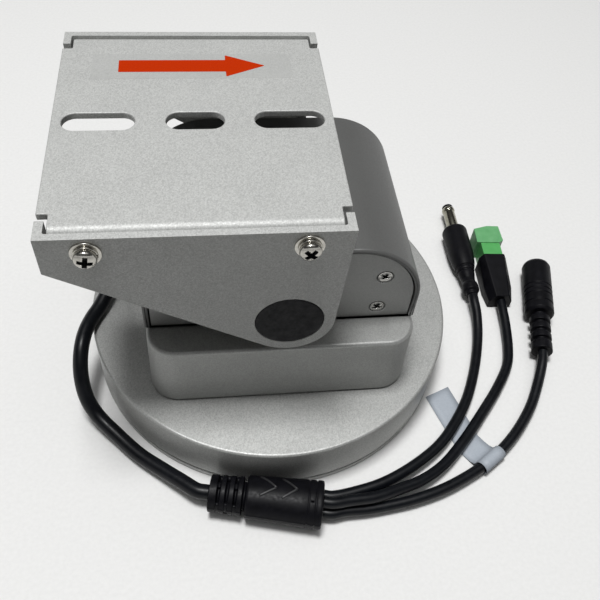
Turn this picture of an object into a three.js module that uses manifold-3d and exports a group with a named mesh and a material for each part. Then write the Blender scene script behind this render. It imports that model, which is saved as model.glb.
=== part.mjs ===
// Motorised pan and tilt head: a round base, a block that turns on it, and a tilting platform.
// Millimetres, +Z up, origin at the centre of the base's underside. The platform's slots run
// along X, the tilt shaft along Y, and -Y is the near side.
import * as THREE from 'three';
import { mergeVertices } from 'three/addons/utils/BufferGeometryUtils.js';
import Module from 'manifold-3d';

const wasm = await Module();
wasm.setup();

// Sides of round pieces
const WIDE = 48;
const ROUND = 24;
const SMALL = 12;
const TINY = 10;
const ARCH_STEPS = 8;
const CORD_SIDES = 8;

// Fits
const SEAM = 0.3;          // shadow line between two covers
const SEAT = 0.1;          // play where one piece rests in or on another
const RUN = 0.12;          // radial play of a turning shaft
const LAP = 1;             // of a body into the one it joins, or of a cut past the face it goes through

// Round base
const BASE_R = 60;
const BASE_TOP = 19.4;
const BASE_WALL = 2.5;
const BASE_ROOF = 2.4;
const BASE_EDGE = 0.9;
const BASE_MOUTH_INSET = 5;  // of the base's mouth from the turning block's sides
const FOOT_T = 2.2;
const FOOT_EDGE = 0.4;
const SCREW_POST_R = 4;
const SCREW_POST_INSET = 10;
const SCREW_POSTS = 4;
const THREAD_R = 4.4;      // three-eighths inch tripod thread, tapping size
const THREAD_DEPTH = 11;
const THREAD_ROOM = 1;     // of the plate's hole round the thread
const GLIDE_INSET = 1;     // of the slide ring from the base's mouth
const GLIDE_W = 3;
const PAN_GAP = 0.6;       // dark gap under the turning block

// Post, bearing and nut on the pan axis
const POST_R = 10;
const POST_FLANGE_R = 15;
const POST_FLANGE_T = 2.6;
const POST_SHOULDER = 2;
const BEARING_T = 7;
const BEARING_W = 6;
const RACE_T = 2;
const NUT_WALL = 3.5;
const NUT_T = 3;
const HUB_WALL = 3.5;
const HUB_LIP = 1.6;

// Gears: module, teeth, pressure angle and face width
const PRESSURE = THREE.MathUtils.degToRad(25);
const BACKLASH = 0.2;
const TOOTH_TIP = 0.85;    // tooth height above and depth below the pitch circle, in modules
const TOOTH_ROOT = 1.15;
const PAN_MODULE = 1;
const PAN_PINION_TEETH = 12;
const PAN_FACE = 5;
const PAN_GEAR_BOSS = 2;
const PAN_MOTOR_ANGLE = THREE.MathUtils.degToRad(20);
const TILT_MODULE = 0.8;
const TILT_PINION_TEETH = 14;
const TILT_FACE = 5;
const TILT_GEAR_Y = -16;
const TILT_GEAR_HUB_R = 8;
const TILT_GEAR_BOSS = 2.5;
const TILT_SECTOR = THREE.MathUtils.degToRad(58);
const PINION_SHAFT_R = 2.5;
const PINION_SHAFT_IN = 5;

// Gear motors
const PAN_BOX_R = 10.8;
const PAN_BOX_H = 8;
const PAN_MOTOR_R = 10;
const PAN_MOTOR_H = 9.5;
const PAN_MOTOR_ROOM = 1.6;  // between the pan gear motor and the block's wall
const TILT_BOX_R = 8.4;
const TILT_BOX_L = 9;
const TILT_MOTOR_R = 7.6;
const TILT_MOTOR_L = 20;
const TILT_STAND = 2.3;    // least height of the tilt gear motor above the floor
const TILT_FOOT_X = 15;
const TILT_FOOT_T = 2;
const TILT_WEB_X = 7.4;    // half width of the web between the foot and the gearbox

// Turning block
const BLOCK_X = 40;
const BLOCK_Y = 39;
const BLOCK_H = 23.5;
const BLOCK_DRAFT = 0.6;
const BLOCK_CORNER = 9;
const BLOCK_EDGE = 1.1;
const BLOCK_WALL = 2.5;
const BLOCK_LEDGE_X = 6;   // roof left beside the mouth under the housing
const BLOCK_LEDGE_Y = 1;
const FLOOR_T = 3;

// Arched upper housing and its end caps
const ARCH_STEP = 0.1;     // of the housing inside the block's side
const ARCH_RISE = 12.6;    // above the tilt axis
const ARCH_CORNER = 21;
const ARCH_Y = 28.7;
const ARCH_WALL = 1.6;
const ARCH_EDGE = 1.5;
const CAP_RECESS = 0.7;
const CAP_T = 3;
const CAP_GAP = 0.15;
const CAP_UPPER_SCREW = [11.4, 0.3];  // in from the housing's side, up from the tilt axis
const CAP_LOWER_SCREW = [11.8, 4.2];  // in from the housing's side, up from its lower edge
const CAP_SCREW_HEAD_R = 2.35;
const CAP_SCREW_HEAD_T = 1.4;
const CAP_SCREW_R = 1.25;
const CAP_SCREW_L = 8;
const CAP_BOSS_R = 3;
const CAP_BOSS_L = 7;

// Tilt shaft and hubs
const TILT_RISE = 17.5;    // of the axis above the block
const SHAFT_R = 4;
const BUSH_R = 6.5;
const BUSH_FLANGE_R = 8.5;
const BUSH_FLANGE_T = 0.8;
const BUSH_END = 1;        // past the cap's inner face
const HUB_NECK_R = 7.5;
const HUB_FLANGE_INSET = 0.7;
const HUB_FLANGE_T = 3;

// Tilting bracket
const BRACKET_LEFT = -59.2;
const BRACKET_RIGHT = 14.2;
const BRACKET_RISE = 33.75;  // platform face above the tilt axis
const BRACKET_GAP = 10.9;    // between the housing's end and a side plate
const PLATE_T = 2;
const LEG_T = 2.1;
const LEG_DEPTH = 6.1;
const LEG_BEND = 0.6;
const LEFT_EDGE_H = 11.25;
const BOSS_R = 12.3;
const HUB_ROOM = 3;        // height above the axis to which the right leg is cut away
const PLUG_RIM = 3;
const PLUG_WALL = 1.2;
const PLUG_SKIN = 1;
const PLATFORM_T = 2;
const PLATFORM_BEND_IN = 0.4;
const PLATFORM_FLANGE = 9;
const PLATFORM_PLAY = 0.2;
const EAR_GAP = 2.2;       // between the platform's ear and a leg
const EAR_CORNER = 0.8;
const NOTCH_LEFT = 2.8;
const NOTCH_RIGHT = 2.6;
const SLOT_W = 7;
const SLOT_L = 18.6;
const SLOT_MID_L = 15.3;
const SLOT_EDGE = 2.6;

// Bracket screws
const BRACKET_SCREW_INSET = 11.1;
const BRACKET_SCREW_DROP = 4.45;
const SCREW_R = 1.5;
const SCREW_L = 6;
const SCREW_HEAD_R = 2.7;
const SCREW_HEAD_H = 2;
const SPRING_R = 2.9;
const SPRING_T = 0.8;
const WASHER_R = 3.65;
const WASHER_T = 0.6;

// Control board and cable gland
const BOARD_T = 1.6;
const BOARD_L = 34;
const BOARD_H = 34;
const CHIP_L = 9;
const CHIP_H = 10;
const CHIP_T = 2;
const CHIP_RISE = 6;
const CHIP_Y = [-12, 3, 15];
const GLAND_Y = 12;
const GLAND_R = 4.6;
const GLAND_NECK_R = 3.8;
const GLAND_FLANGE_T = 1.4;
const GLAND_STEP = 1;
const GLAND_LIP = 0.5;
const GLAND_BOOT_L = 6;

// Cords
const MAIN_R = 2.375;
const TAIL_R = 1.8;
const CORD_GAP = 0.3;
const FLOOR_PLAY = 0.1;

// Moulded splitter, along its own axis on the floor
const SPLITTER_START = [-23.3, -63.5];
const SPLITTER_TURN = THREE.MathUtils.degToRad(-11.5);
const SPLITTER_L = 34.2;
const SPLITTER_W = [12.2, 15];
const SPLITTER_H = [11.4, 12.2];
const RELIEF_L = 11.1;
const RELIEF_LIP = 0.9;    // added to the relief's first rib
const RELIEF_RIBS = 4;
const RELIEF_STEP = 0.5;   // of the ribs inside the splitter's body
const RELIEF_CUT = 1.4;
const RING_GROOVES = [29.5, 31.7];
const RING_GROOVE_W = 0.7;
const RING_GROOVE_DEPTH = 0.4;
const STEP = 0.05;         // length of a step between two rings
const RIB_SHARE = 0.58;    // of the pitch of a relief's ribs that is rib

// Connectors: where the cord enters, and the turn of the axis from +Y towards +X
const PLUG_AT = [78.2, 8.4];
const PLUG_TURN = THREE.MathUtils.degToRad(3.1);
const PLUG_R = 5.4;
const PLUG_L = 33.2;
const PLUG_NECK_R = 3.1;
const PLUG_NECK_L = 5;
const PLUG_TAPER_L = 12;
const PLUG_EDGE = 1;
const BARREL_R = 2.75;
const BARREL_BORE = 1.25;
const BARREL_L = 13.2;
const BARREL_EDGE = 0.4;
const BARREL_FLOOR = 2;
const TERMINAL_AT = [89.1, 6];
const TERMINAL_TURN = THREE.MathUtils.degToRad(3.7);
const HOOD_L = 19.3;
const HOOD_W = [8.8, 10.8];
const HOOD_TOP_W = [5, 8];
const HOOD_H = [7, 9.6];
const HOOD_WALL_H = [3.4, 7];  // upright part of the hood's sides
const HOOD_CORNER_L = 6;       // length in which the hood reaches its full width
const TERMINAL_W = 10.7;
const TERMINAL_NECK_W = 7.6;
const TERMINAL_NECK_L = 6.2;
const TERMINAL_L = 15.2;
const TERMINAL_H = 9.4;
const TERMINAL_CUT = 1.2;
const TERMINAL_CHAMFER = [5.5, 1.7];  // long chamfer at one corner of the face, across and along
const JACK_AT = [96.85, -19.2];
const JACK_TURN = THREE.MathUtils.degToRad(14.8);
const JACK_R = 6.1;
const JACK_L = 40.6;
const JACK_RELIEF_L = 13.1;
const JACK_RELIEF_R = 4.2;
const JACK_LIP = 1.3;       // plain end of the relief before its ribs
const JACK_RIBS = 4;
const JACK_RIB_DEPTH = 1;
const JACK_GROOVES = [18.1, 22.8, 25.1, 27.3];
const JACK_GROOVE_W = 0.8;
const JACK_GROOVE_DEPTH = 0.4;
const JACK_EDGE = 1;
const JACK_BORE = 3;
const JACK_BORE_DEPTH = 9;
const JACK_PIN_R = 1.05;
const JACK_PIN_DEPTH = 1;

// Label folded round one tail
const LABEL_T = 0.3;
const LABEL_W = 9.5;
const LABEL_FROM = [67.6, -57.9];
const LABEL_TO = [56.4, -30];
const LABEL_SLEEVE_TURN = THREE.MathUtils.degToRad(34);
const LABEL_LIFT = 2.6;    // height of the tail's centre where the label goes round it

// Derived places on the pan axis, from the floor up
const coverBottom = FOOT_T + SEAM;
const coverUnder = BASE_TOP - BASE_ROOF;
const postZ = FOOT_T + SEAT;
const gearZ = postZ + POST_FLANGE_T + SEAT;
const bearingZ = gearZ + PAN_FACE + PAN_GEAR_BOSS + SEAT;
const bearingTop = bearingZ + BEARING_T;
const nutZ = bearingTop + SEAT;
const postTop = nutZ + NUT_T + SEAT;
const threadR = POST_R - POST_SHOULDER;
const bearingR = POST_R + BEARING_W;
const blockBottom = BASE_TOP + PAN_GAP;
const floorTop = blockBottom + FLOOR_T;
const glandZ = floorTop + SEAM + GLAND_R;
const mouthR = Math.min(BLOCK_X, BLOCK_Y) - BASE_MOUTH_INSET;

// Derived places of the housing and the bracket
const blockTop = blockBottom + BLOCK_H;
const archBottom = blockTop + SEAM;
const archX = BLOCK_X - ARCH_STEP;
const tiltZ = blockTop + TILT_RISE;
const archTop = tiltZ + ARCH_RISE;
const capY = ARCH_Y - CAP_RECESS;
const blockMouthX = BLOCK_X - BLOCK_LEDGE_X;
const blockMouthY = capY - CAP_T - BLOCK_LEDGE_Y;
const plateInner = ARCH_Y + BRACKET_GAP;
const plateY = plateInner + PLATE_T;
const bracketTop = tiltZ + BRACKET_RISE;
const bracketMid = (BRACKET_LEFT + BRACKET_RIGHT) / 2;
const leftEdgeBottom = bracketTop - LEFT_EDGE_H;
const screwZ = bracketTop - BRACKET_SCREW_DROP;
const screwX = [BRACKET_LEFT + BRACKET_SCREW_INSET, BRACKET_RIGHT - BRACKET_SCREW_INSET];
const plugHoleR = BOSS_R - PLUG_RIM;
const boardX = BOARD_T + SEAM - blockMouthX;

// Each large gear has the most teeth that leave its motor room: at the block's side, and above the floor
const panRoom = BLOCK_X - BLOCK_WALL - BLOCK_DRAFT - PAN_MOTOR_ROOM - PAN_BOX_R;
const panTeeth = Math.floor(2 * panRoom / Math.cos(PAN_MOTOR_ANGLE) / PAN_MODULE) - PAN_PINION_TEETH;
const panCentre = PAN_MODULE * (panTeeth + PAN_PINION_TEETH) / 2;
const motorX = panCentre * Math.cos(PAN_MOTOR_ANGLE);
const motorY = panCentre * Math.sin(PAN_MOTOR_ANGLE);
const tiltRoom = tiltZ - floorTop - TILT_BOX_R - TILT_STAND;
const tiltTeeth = Math.floor(2 * tiltRoom / TILT_MODULE) - TILT_PINION_TEETH;
const tiltCentre = TILT_MODULE * (tiltTeeth + TILT_PINION_TEETH) / 2;
const tiltPinionZ = tiltZ - tiltCentre;

// Materials
const finish = (color, roughness, metalness) =>
  new THREE.MeshStandardMaterial({ color, roughness, metalness });
const silver = finish(0xb4b6b6, 0.5, 0.75);
const steel = finish(0xc4c4c0, 0.25, 1);
const bronze = finish(0xa9834f, 0.4, 1);
const nylon = finish(0xe6e2d6, 0.6, 0);
const rubber = finish(0x1b1b1c, 0.7, 0);
const cordBlack = finish(0x121315, 0.4, 0);
const green = finish(0x63b878, 0.45, 0);
const board = finish(0x1f5a35, 0.5, 0);
const paper = finish(0xd4dae2, 0.8, 0);

// Geometry helpers

// One closed body with merged vertices, faces pointing out.
function closed(geometry) {
  const bare = geometry.clone();
  bare.deleteAttribute('normal');
  bare.deleteAttribute('uv');
  const merged = mergeVertices(bare, 1e-4);
  const pos = merged.attributes.position.array;
  const keep = [];
  let volume = 0;
  const corner = (i) => new THREE.Vector3(pos[3 * i], pos[3 * i + 1], pos[3 * i + 2]);
  for (let i = 0; i < merged.index.count; i += 3) {
    const [a, b, c] = [0, 1, 2].map((k) => merged.index.array[i + k]);
    if (a === b || b === c || c === a) continue;
    keep.push(a, b, c);
    volume += corner(a).dot(corner(b).cross(corner(c)));
  }
  if (volume < 0) keep.reverse();
  return { vertProperties: new Float32Array(pos), triVerts: new Uint32Array(keep) };
}

const solid = (geometry) => new wasm.Manifold(new wasm.Mesh({ numProp: 3, ...closed(geometry) }));

function geometryOf(body) {
  const mesh = body.getMesh();
  const geometry = new THREE.BufferGeometry();
  geometry.setAttribute('position', new THREE.BufferAttribute(new Float32Array(mesh.vertProperties), 3));
  geometry.setIndex(new THREE.BufferAttribute(new Uint32Array(mesh.triVerts), 1));
  geometry.computeVertexNormals();
  return geometry;
}

const join = (...geometries) => geometries.map(solid).reduce((all, one) => all.add(one));
const cut = (body, ...tools) => tools.map(solid).reduce((left, tool) => left.subtract(tool), body);

// Revolved closed profile of [radius, height] points about Z.
function turned(profile, sides = ROUND) {
  const points = profile.map(([r, z]) => new THREE.Vector2(r, z));
  const first = profile[0];
  const last = profile[profile.length - 1];
  if (first[0] > 0 || last[0] > 0) points.push(points[0].clone());
  return new THREE.LatheGeometry(points, sides).rotateX(Math.PI / 2);
}

const ring = (rIn, rOut, z0, z1, sides) => turned([[rIn, z0], [rOut, z0], [rOut, z1], [rIn, z1]], sides);
const disc = (r, z0, z1, sides) => turned([[0, z0], [r, z0], [r, z1], [0, z1]], sides);

// Turn a body made about Z so that it lies about another axis.
const alongY = (geometry) => geometry.rotateX(-Math.PI / 2);
const alongMinusX = (geometry) => geometry.rotateY(-Math.PI / 2);

// Outline of points extruded in +Z.
function prism(points, z0, z1) {
  const shape = new THREE.Shape(points.map(([x, y]) => new THREE.Vector2(x, y)));
  return new THREE.ExtrudeGeometry(shape, { depth: z1 - z0, bevelEnabled: false }).translate(0, 0, z0);
}

// Outline of [x, z] points extruded from y0 to y1.
const prismY = (points, y0, y1) => prism(points, -y1, -y0).rotateX(Math.PI / 2);

const box = (x0, x1, y0, y1, z0, z1) =>
  new THREE.BoxGeometry(x1 - x0, y1 - y0, z1 - z0)
    .translate((x0 + x1) / 2, (y0 + y1) / 2, (z0 + z1) / 2);

function arc(cx, cy, r, from, to, steps) {
  return Array.from({ length: steps + 1 }, (_, i) => {
    const a = from + (to - from) * i / steps;
    return [cx + r * Math.cos(a), cy + r * Math.sin(a)];
  });
}

// Points of a whole circle
const around = (r, sides) => arc(0, 0, r, 0, 2 * Math.PI * (1 - 1 / sides), sides - 1);

function roundedRect(hx, hy, r, steps = 6) {
  const quarter = Math.PI / 2;
  return [[1, -1, -1], [1, 1, 0], [-1, 1, 1], [-1, -1, 2]].flatMap(([sx, sy, q]) =>
    arc(sx * (hx - r), sy * (hy - r), r, q * quarter, (q + 1) * quarter, steps));
}

// Body through a row of rings with equal point counts, closed by a flat fan at each end.
function loft(rings) {
  const n = rings[0].length;
  const points = rings.flat();
  const index = [];
  for (let r = 0; r + 1 < rings.length; r++) {
    for (let i = 0; i < n; i++) {
      const j = (i + 1) % n;
      const [a, b, c, d] = [r * n + i, r * n + j, (r + 1) * n + j, (r + 1) * n + i];
      index.push(a, b, c, a, c, d);
    }
  }
  const top = (rings.length - 1) * n;
  for (let i = 1; i + 1 < n; i++) {
    index.push(0, i + 1, i);
    index.push(top, top + i, top + i + 1);
  }
  const geometry = new THREE.BufferGeometry();
  geometry.setAttribute('position', new THREE.Float32BufferAttribute(points.flat(), 3));
  geometry.setIndex(index);
  return geometry;
}

// Outline of an involute gear, or of a sector of it when from and to are angles.
function gearOutline({ module, teeth, phase = 0, curved = false, from = null, to = null, rootR = null }) {
  const pitch = module * teeth / 2;
  const base = pitch * Math.cos(PRESSURE);
  const tip = pitch + TOOTH_TIP * module;
  const root = pitch - TOOTH_ROOT * module;
  const involute = (r) => {
    const a = Math.acos(Math.min(1, base / r));
    return Math.tan(a) - a;
  };
  const halfAtPitch = Math.PI / (2 * teeth) - BACKLASH / (4 * pitch);
  const half = (r) => halfAtPitch + involute(pitch) - involute(Math.max(r, base));
  const start = Math.max(root, base);
  const flank = curved ? [start, (start + tip) / 2, tip] : [start, tip];
  const points = [];
  const step = 2 * Math.PI / teeth;
  const whole = from === null;
  const first = whole ? 0 : Math.ceil((from - phase) / step);
  const last = whole ? teeth - 1 : Math.floor((to - phase) / step);
  for (let k = first; k <= last; k++) {
    const mid = phase + k * step;
    const at = (r, sign) => [r * Math.cos(mid + sign * half(r)), r * Math.sin(mid + sign * half(r))];
    const foot = (sign) => (start > root ? [at(root, sign)] : []);
    const rise = flank.map((r) => at(r, -1));
    const fall = [...flank].reverse().map((r) => at(r, 1));
    points.push(...foot(-1), ...rise, ...fall, ...foot(1));
  }
  if (!whole) points.push(...arc(0, 0, rootR, to + step / 2, from - step / 2 + 2 * Math.PI, 8));
  return points;
}

// The product, as named meshes
const head = new THREE.Group();

function piece(name, geometry, material) {
  const data = closed(geometry);
  const clean = new THREE.BufferGeometry();
  clean.setAttribute('position', new THREE.BufferAttribute(data.vertProperties, 3));
  clean.setIndex(new THREE.BufferAttribute(data.triVerts, 1));
  clean.computeVertexNormals();
  const mesh = new THREE.Mesh(clean, material);
  mesh.name = name;
  head.add(mesh);
}

// Base: turned cover, plate under it, slide ring on top
function makeBase() {
  const shell = turned([
    [BASE_R - BASE_WALL, coverBottom], [BASE_R, coverBottom], [BASE_R, BASE_TOP - BASE_EDGE],
    [BASE_R - 0.3 * BASE_EDGE, BASE_TOP - 0.3 * BASE_EDGE], [BASE_R - BASE_EDGE, BASE_TOP],
    [mouthR, BASE_TOP], [mouthR, coverUnder], [BASE_R - BASE_WALL, coverUnder],
  ], WIDE);
  const posts = Array.from({ length: SCREW_POSTS }, (_, i) => {
    const a = (i + 0.5) * 2 * Math.PI / SCREW_POSTS;
    const at = BASE_R - SCREW_POST_INSET;
    return disc(SCREW_POST_R, coverBottom, coverUnder + BASE_ROOF / 2, TINY)
      .translate(at * Math.cos(a), at * Math.sin(a), 0);
  });
  piece('base_cover', geometryOf(join(shell, ...posts)), silver);
  const hole = THREAD_R + THREAD_ROOM;
  piece('base_plate', turned([
    [hole, 0], [BASE_R - FOOT_EDGE, 0], [BASE_R, FOOT_EDGE], [BASE_R, FOOT_T], [hole, FOOT_T],
  ], WIDE), silver);
  const glideR = mouthR + GLIDE_INSET;
  piece('slide_ring', ring(glideR, glideR + GLIDE_W, BASE_TOP, blockBottom - SEAT, ROUND), nylon);
}

// Pan axis: threaded post, fixed gear, bearing races and lock nut
function makePanAxis() {
  piece('pan_post', turned([
    [THREAD_R, postZ], [POST_FLANGE_R, postZ], [POST_FLANGE_R, postZ + POST_FLANGE_T],
    [POST_R, postZ + POST_FLANGE_T], [POST_R, bearingTop - SEAT], [threadR, bearingTop - SEAT],
    [threadR, postTop], [0, postTop], [0, THREAD_DEPTH], [THREAD_R, THREAD_DEPTH],
  ]), steel);
  const outline = gearOutline({ module: PAN_MODULE, teeth: panTeeth, phase: PAN_MOTOR_ANGLE });
  const teeth = prism(outline, gearZ, gearZ + PAN_FACE);
  const raceOut = POST_R + SEAT + RACE_T;
  const boss = disc(raceOut, gearZ, gearZ + PAN_FACE + PAN_GEAR_BOSS, ROUND);
  const bore = disc(POST_R + SEAT, 0, BASE_TOP, ROUND);
  piece('pan_gear', geometryOf(cut(join(teeth, boss), bore)), steel);
  piece('bearing_inner_race', ring(POST_R + SEAT, raceOut, bearingZ, bearingTop, ROUND), steel);
  piece('bearing_outer_race', ring(raceOut + SEAM, bearingR, bearingZ, bearingTop, ROUND), steel);
  const nut = prism(arc(0, 0, threadR + NUT_WALL, 0, 5 * Math.PI / 3, 5), nutZ, nutZ + NUT_T);
  const nutBore = disc(threadR + SEAT, 0, postTop + LAP, ROUND);
  piece('lock_nut', geometryOf(cut(solid(nut), nutBore)), steel);
}

// Floor of the turning block, with the bearing hub under it
function makeTurntable() {
  const inner = BLOCK_WALL + SEAM + BLOCK_DRAFT;
  const outline = roundedRect(BLOCK_X - inner, BLOCK_Y - inner, BLOCK_CORNER - inner, 4);
  const plate = prism(outline, blockBottom, floorTop);
  const drum = disc(mouthR - SEAM, coverUnder + SEAM, blockBottom + FLOOR_T / 2, ROUND);
  const hub = disc(bearingR + HUB_WALL, bearingZ + SEAT, floorTop, ROUND);
  const body = join(plate, drum, hub);
  const bearingBore = disc(bearingR + SEAT, 0, bearingTop + SEAT, ROUND);
  const nutBore = disc(bearingR - HUB_LIP, 0, floorTop + LAP, ROUND);
  const shaftHole = disc(PINION_SHAFT_R + RUN, 0, floorTop + LAP, SMALL).translate(motorX, motorY, 0);
  piece('turntable', geometryOf(cut(body, bearingBore, nutBore, shaftHole)), silver);
}

// One ring of the turning block at height z, drawn in by an inset
function blockRing(z, inset) {
  const lean = BLOCK_DRAFT * (z - blockBottom) / BLOCK_H;
  const by = lean + inset;
  return roundedRect(BLOCK_X - by, BLOCK_Y - by, BLOCK_CORNER - by).map(([x, y]) => [x, y, z]);
}

// Turning block: a drafted box with a soft top edge, open below and under the housing
function makeBlock() {
  const outside = loft([
    blockRing(blockBottom, 0), blockRing(blockTop - BLOCK_EDGE, 0),
    blockRing(blockTop - 0.3 * BLOCK_EDGE, 0.3 * BLOCK_EDGE), blockRing(blockTop, BLOCK_EDGE),
  ]);
  const inside = loft([
    blockRing(blockBottom - LAP, BLOCK_WALL), blockRing(blockTop - BLOCK_WALL, BLOCK_WALL),
  ]);
  const mouth = box(
    -blockMouthX, blockMouthX, -blockMouthY, blockMouthY, blockTop - 2 * BLOCK_WALL, blockTop + LAP,
  );
  const glandHole = disc(GLAND_NECK_R + SEAT, BLOCK_X - 2 * BLOCK_WALL, BLOCK_X + LAP, SMALL);
  alongMinusX(glandHole).translate(0, GLAND_Y, glandZ);
  piece('turning_block', geometryOf(cut(solid(outside), inside, mouth, glandHole)), silver);
}

// Arched outline of the upper housing in X and Z, drawn in by an inset
function archOutline(inset, bottom) {
  const hx = archX - inset;
  const r = ARCH_CORNER - inset;
  const top = archTop - inset;
  return [
    [-hx, bottom], [hx, bottom],
    ...arc(hx - r, top - r, r, 0, Math.PI / 2, ARCH_STEPS),
    ...arc(-hx + r, top - r, r, Math.PI / 2, Math.PI, ARCH_STEPS),
  ];
}

// Screw places of one end cap, both sides of the shaft
const capScrewPlaces = [
  [archX - CAP_UPPER_SCREW[0], tiltZ + CAP_UPPER_SCREW[1]],
  [archX - CAP_LOWER_SCREW[0], archBottom + CAP_LOWER_SCREW[1]],
].flatMap(([x, z]) => [[x, z], [-x, z]]);

function makeHousing() {
  const at = (y, inset) => archOutline(inset, archBottom).map(([x, z]) => [x, y, z]);
  const edge = [[0, 0.93 * ARCH_EDGE], [0.3 * ARCH_EDGE, 0.3 * ARCH_EDGE], [ARCH_EDGE, 0]];
  const outside = loft([
    ...edge.map(([y, inset]) => at(-ARCH_Y + y, inset)),
    ...edge.map(([y, inset]) => at(ARCH_Y - y, inset)).reverse(),
  ]);
  const tunnel = prismY(archOutline(ARCH_WALL, archBottom - LAP), -ARCH_Y - LAP, ARCH_Y + LAP);
  const capInner = capY - CAP_T - SEAT;
  const bosses = capScrewPlaces.flatMap(([x, z]) => [-1, 1].map((side) => {
    const [y0, y1] = side < 0 ? [-capInner, -capInner + CAP_BOSS_L] : [capInner - CAP_BOSS_L, capInner];
    const [x0, x1] = x < 0 ? [-archX, x + CAP_BOSS_R] : [x - CAP_BOSS_R, archX];
    return box(x0, x1, y0, y1, z - CAP_BOSS_R, z + CAP_BOSS_R);
  }));
  const holes = capScrewPlaces.map(([x, z]) =>
    alongY(disc(CAP_SCREW_R + SEAT, -ARCH_Y, ARCH_Y, TINY)).translate(x, 0, z));
  const shell = solid(outside).subtract(solid(tunnel)).add(join(...bosses).intersect(solid(outside)));
  piece('upper_housing', geometryOf(cut(shell, ...holes)), silver);
}

// End cap with its countersunk screws, and the bush for the shaft; side is -1 near, 1 far
function makeEnd(side, word) {
  const outline = archOutline(ARCH_WALL + CAP_GAP, archBottom);
  const [y0, y1] = side < 0 ? [-capY, -capY + CAP_T] : [capY - CAP_T, capY];
  const facing = (geometry) => (side < 0 ? alongY(geometry) : alongY(geometry).rotateZ(Math.PI));
  const screw = (grow) => facing(turned([
    [0, -capY - grow], [CAP_SCREW_HEAD_R + grow, -capY - grow], [CAP_SCREW_HEAD_R + grow, -capY],
    [CAP_SCREW_R + grow, -capY + CAP_SCREW_HEAD_T], [CAP_SCREW_R + grow, -capY + CAP_SCREW_L],
    [0, -capY + CAP_SCREW_L],
  ], TINY));
  const sinks = capScrewPlaces.map(([x, z]) => screw(SEAT).translate(x, 0, z));
  const bushHole = facing(disc(BUSH_R + SEAT, -ARCH_Y - LAP, 0, ROUND)).translate(0, 0, tiltZ);
  piece(`${word}_end_cap`, geometryOf(cut(solid(prismY(outline, y0, y1)), bushHole, ...sinks)), silver);
  capScrewPlaces.forEach(([x, z], i) => {
    piece(`${word}_cap_screw_${i + 1}`, screw(0).translate(x, 0, z), steel);
  });
  const bore = SHAFT_R + RUN;
  const flange = -capY - SEAT;
  const inside = -capY + CAP_T + BUSH_END;
  const bush = facing(turned([
    [bore, flange - BUSH_FLANGE_T], [BUSH_FLANGE_R, flange - BUSH_FLANGE_T], [BUSH_FLANGE_R, flange],
    [BUSH_R, flange], [BUSH_R, inside], [bore, inside],
  ], 2 * TINY));
  piece(`${word}_shaft_bush`, bush.translate(0, 0, tiltZ), bronze);
}

// Gear motors and pinions inside the block
function makeDrives() {
  const boxZ = floorTop + SEAT;
  const boxTop = floorTop + PAN_BOX_H;
  const panMotor = join(
    disc(PAN_BOX_R, boxZ, boxTop, 2 * TINY),
    disc(PAN_MOTOR_R, boxTop - LAP, boxTop + PAN_MOTOR_H, 2 * TINY),
  );
  const panSocket = disc(PINION_SHAFT_R + RUN, 0, boxZ + PINION_SHAFT_IN + SEAM, SMALL);
  piece('pan_gear_motor', geometryOf(cut(panMotor, panSocket)).translate(motorX, motorY, 0), steel);
  const panOutline = gearOutline({
    module: PAN_MODULE, teeth: PAN_PINION_TEETH, curved: true,
    phase: PAN_MOTOR_ANGLE + Math.PI + Math.PI / PAN_PINION_TEETH,
  });
  const panPinion = join(
    prism(panOutline, gearZ, gearZ + PAN_FACE),
    disc(PINION_SHAFT_R, gearZ, boxZ + PINION_SHAFT_IN, SMALL),
  );
  piece('pan_pinion', geometryOf(panPinion).translate(motorX, motorY, 0), steel);

  const gearBack = TILT_GEAR_Y + TILT_FACE;
  const boxY = gearBack + SEAM;
  const boxEnd = boxY + TILT_BOX_L;
  const footZ = floorTop + SEAT - tiltPinionZ;
  const tiltMotor = join(
    alongY(disc(TILT_BOX_R, boxY, boxEnd, 2 * TINY)),
    alongY(disc(TILT_MOTOR_R, boxEnd - LAP, boxEnd + TILT_MOTOR_L, 2 * TINY)),
    box(-TILT_FOOT_X, TILT_FOOT_X, boxY, boxEnd, footZ, footZ + TILT_FOOT_T),
    box(-TILT_WEB_X, TILT_WEB_X, boxY, boxY + TILT_FOOT_T, footZ, 0),
  );
  const tiltSocket = alongY(disc(PINION_SHAFT_R + RUN, TILT_GEAR_Y, boxY + PINION_SHAFT_IN + SEAM, SMALL));
  piece('tilt_gear_motor', geometryOf(cut(tiltMotor, tiltSocket)).translate(0, 0, tiltPinionZ), steel);
  const tiltOutline = gearOutline({
    module: TILT_MODULE, teeth: TILT_PINION_TEETH, curved: true,
    phase: Math.PI / 2 + Math.PI / TILT_PINION_TEETH,
  });
  const tiltPinion = join(
    prismY(tiltOutline, TILT_GEAR_Y, gearBack),
    alongY(disc(PINION_SHAFT_R, TILT_GEAR_Y, boxY + PINION_SHAFT_IN, SMALL)),
  );
  piece('tilt_pinion', geometryOf(tiltPinion).translate(0, 0, tiltPinionZ), steel);
}

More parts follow.
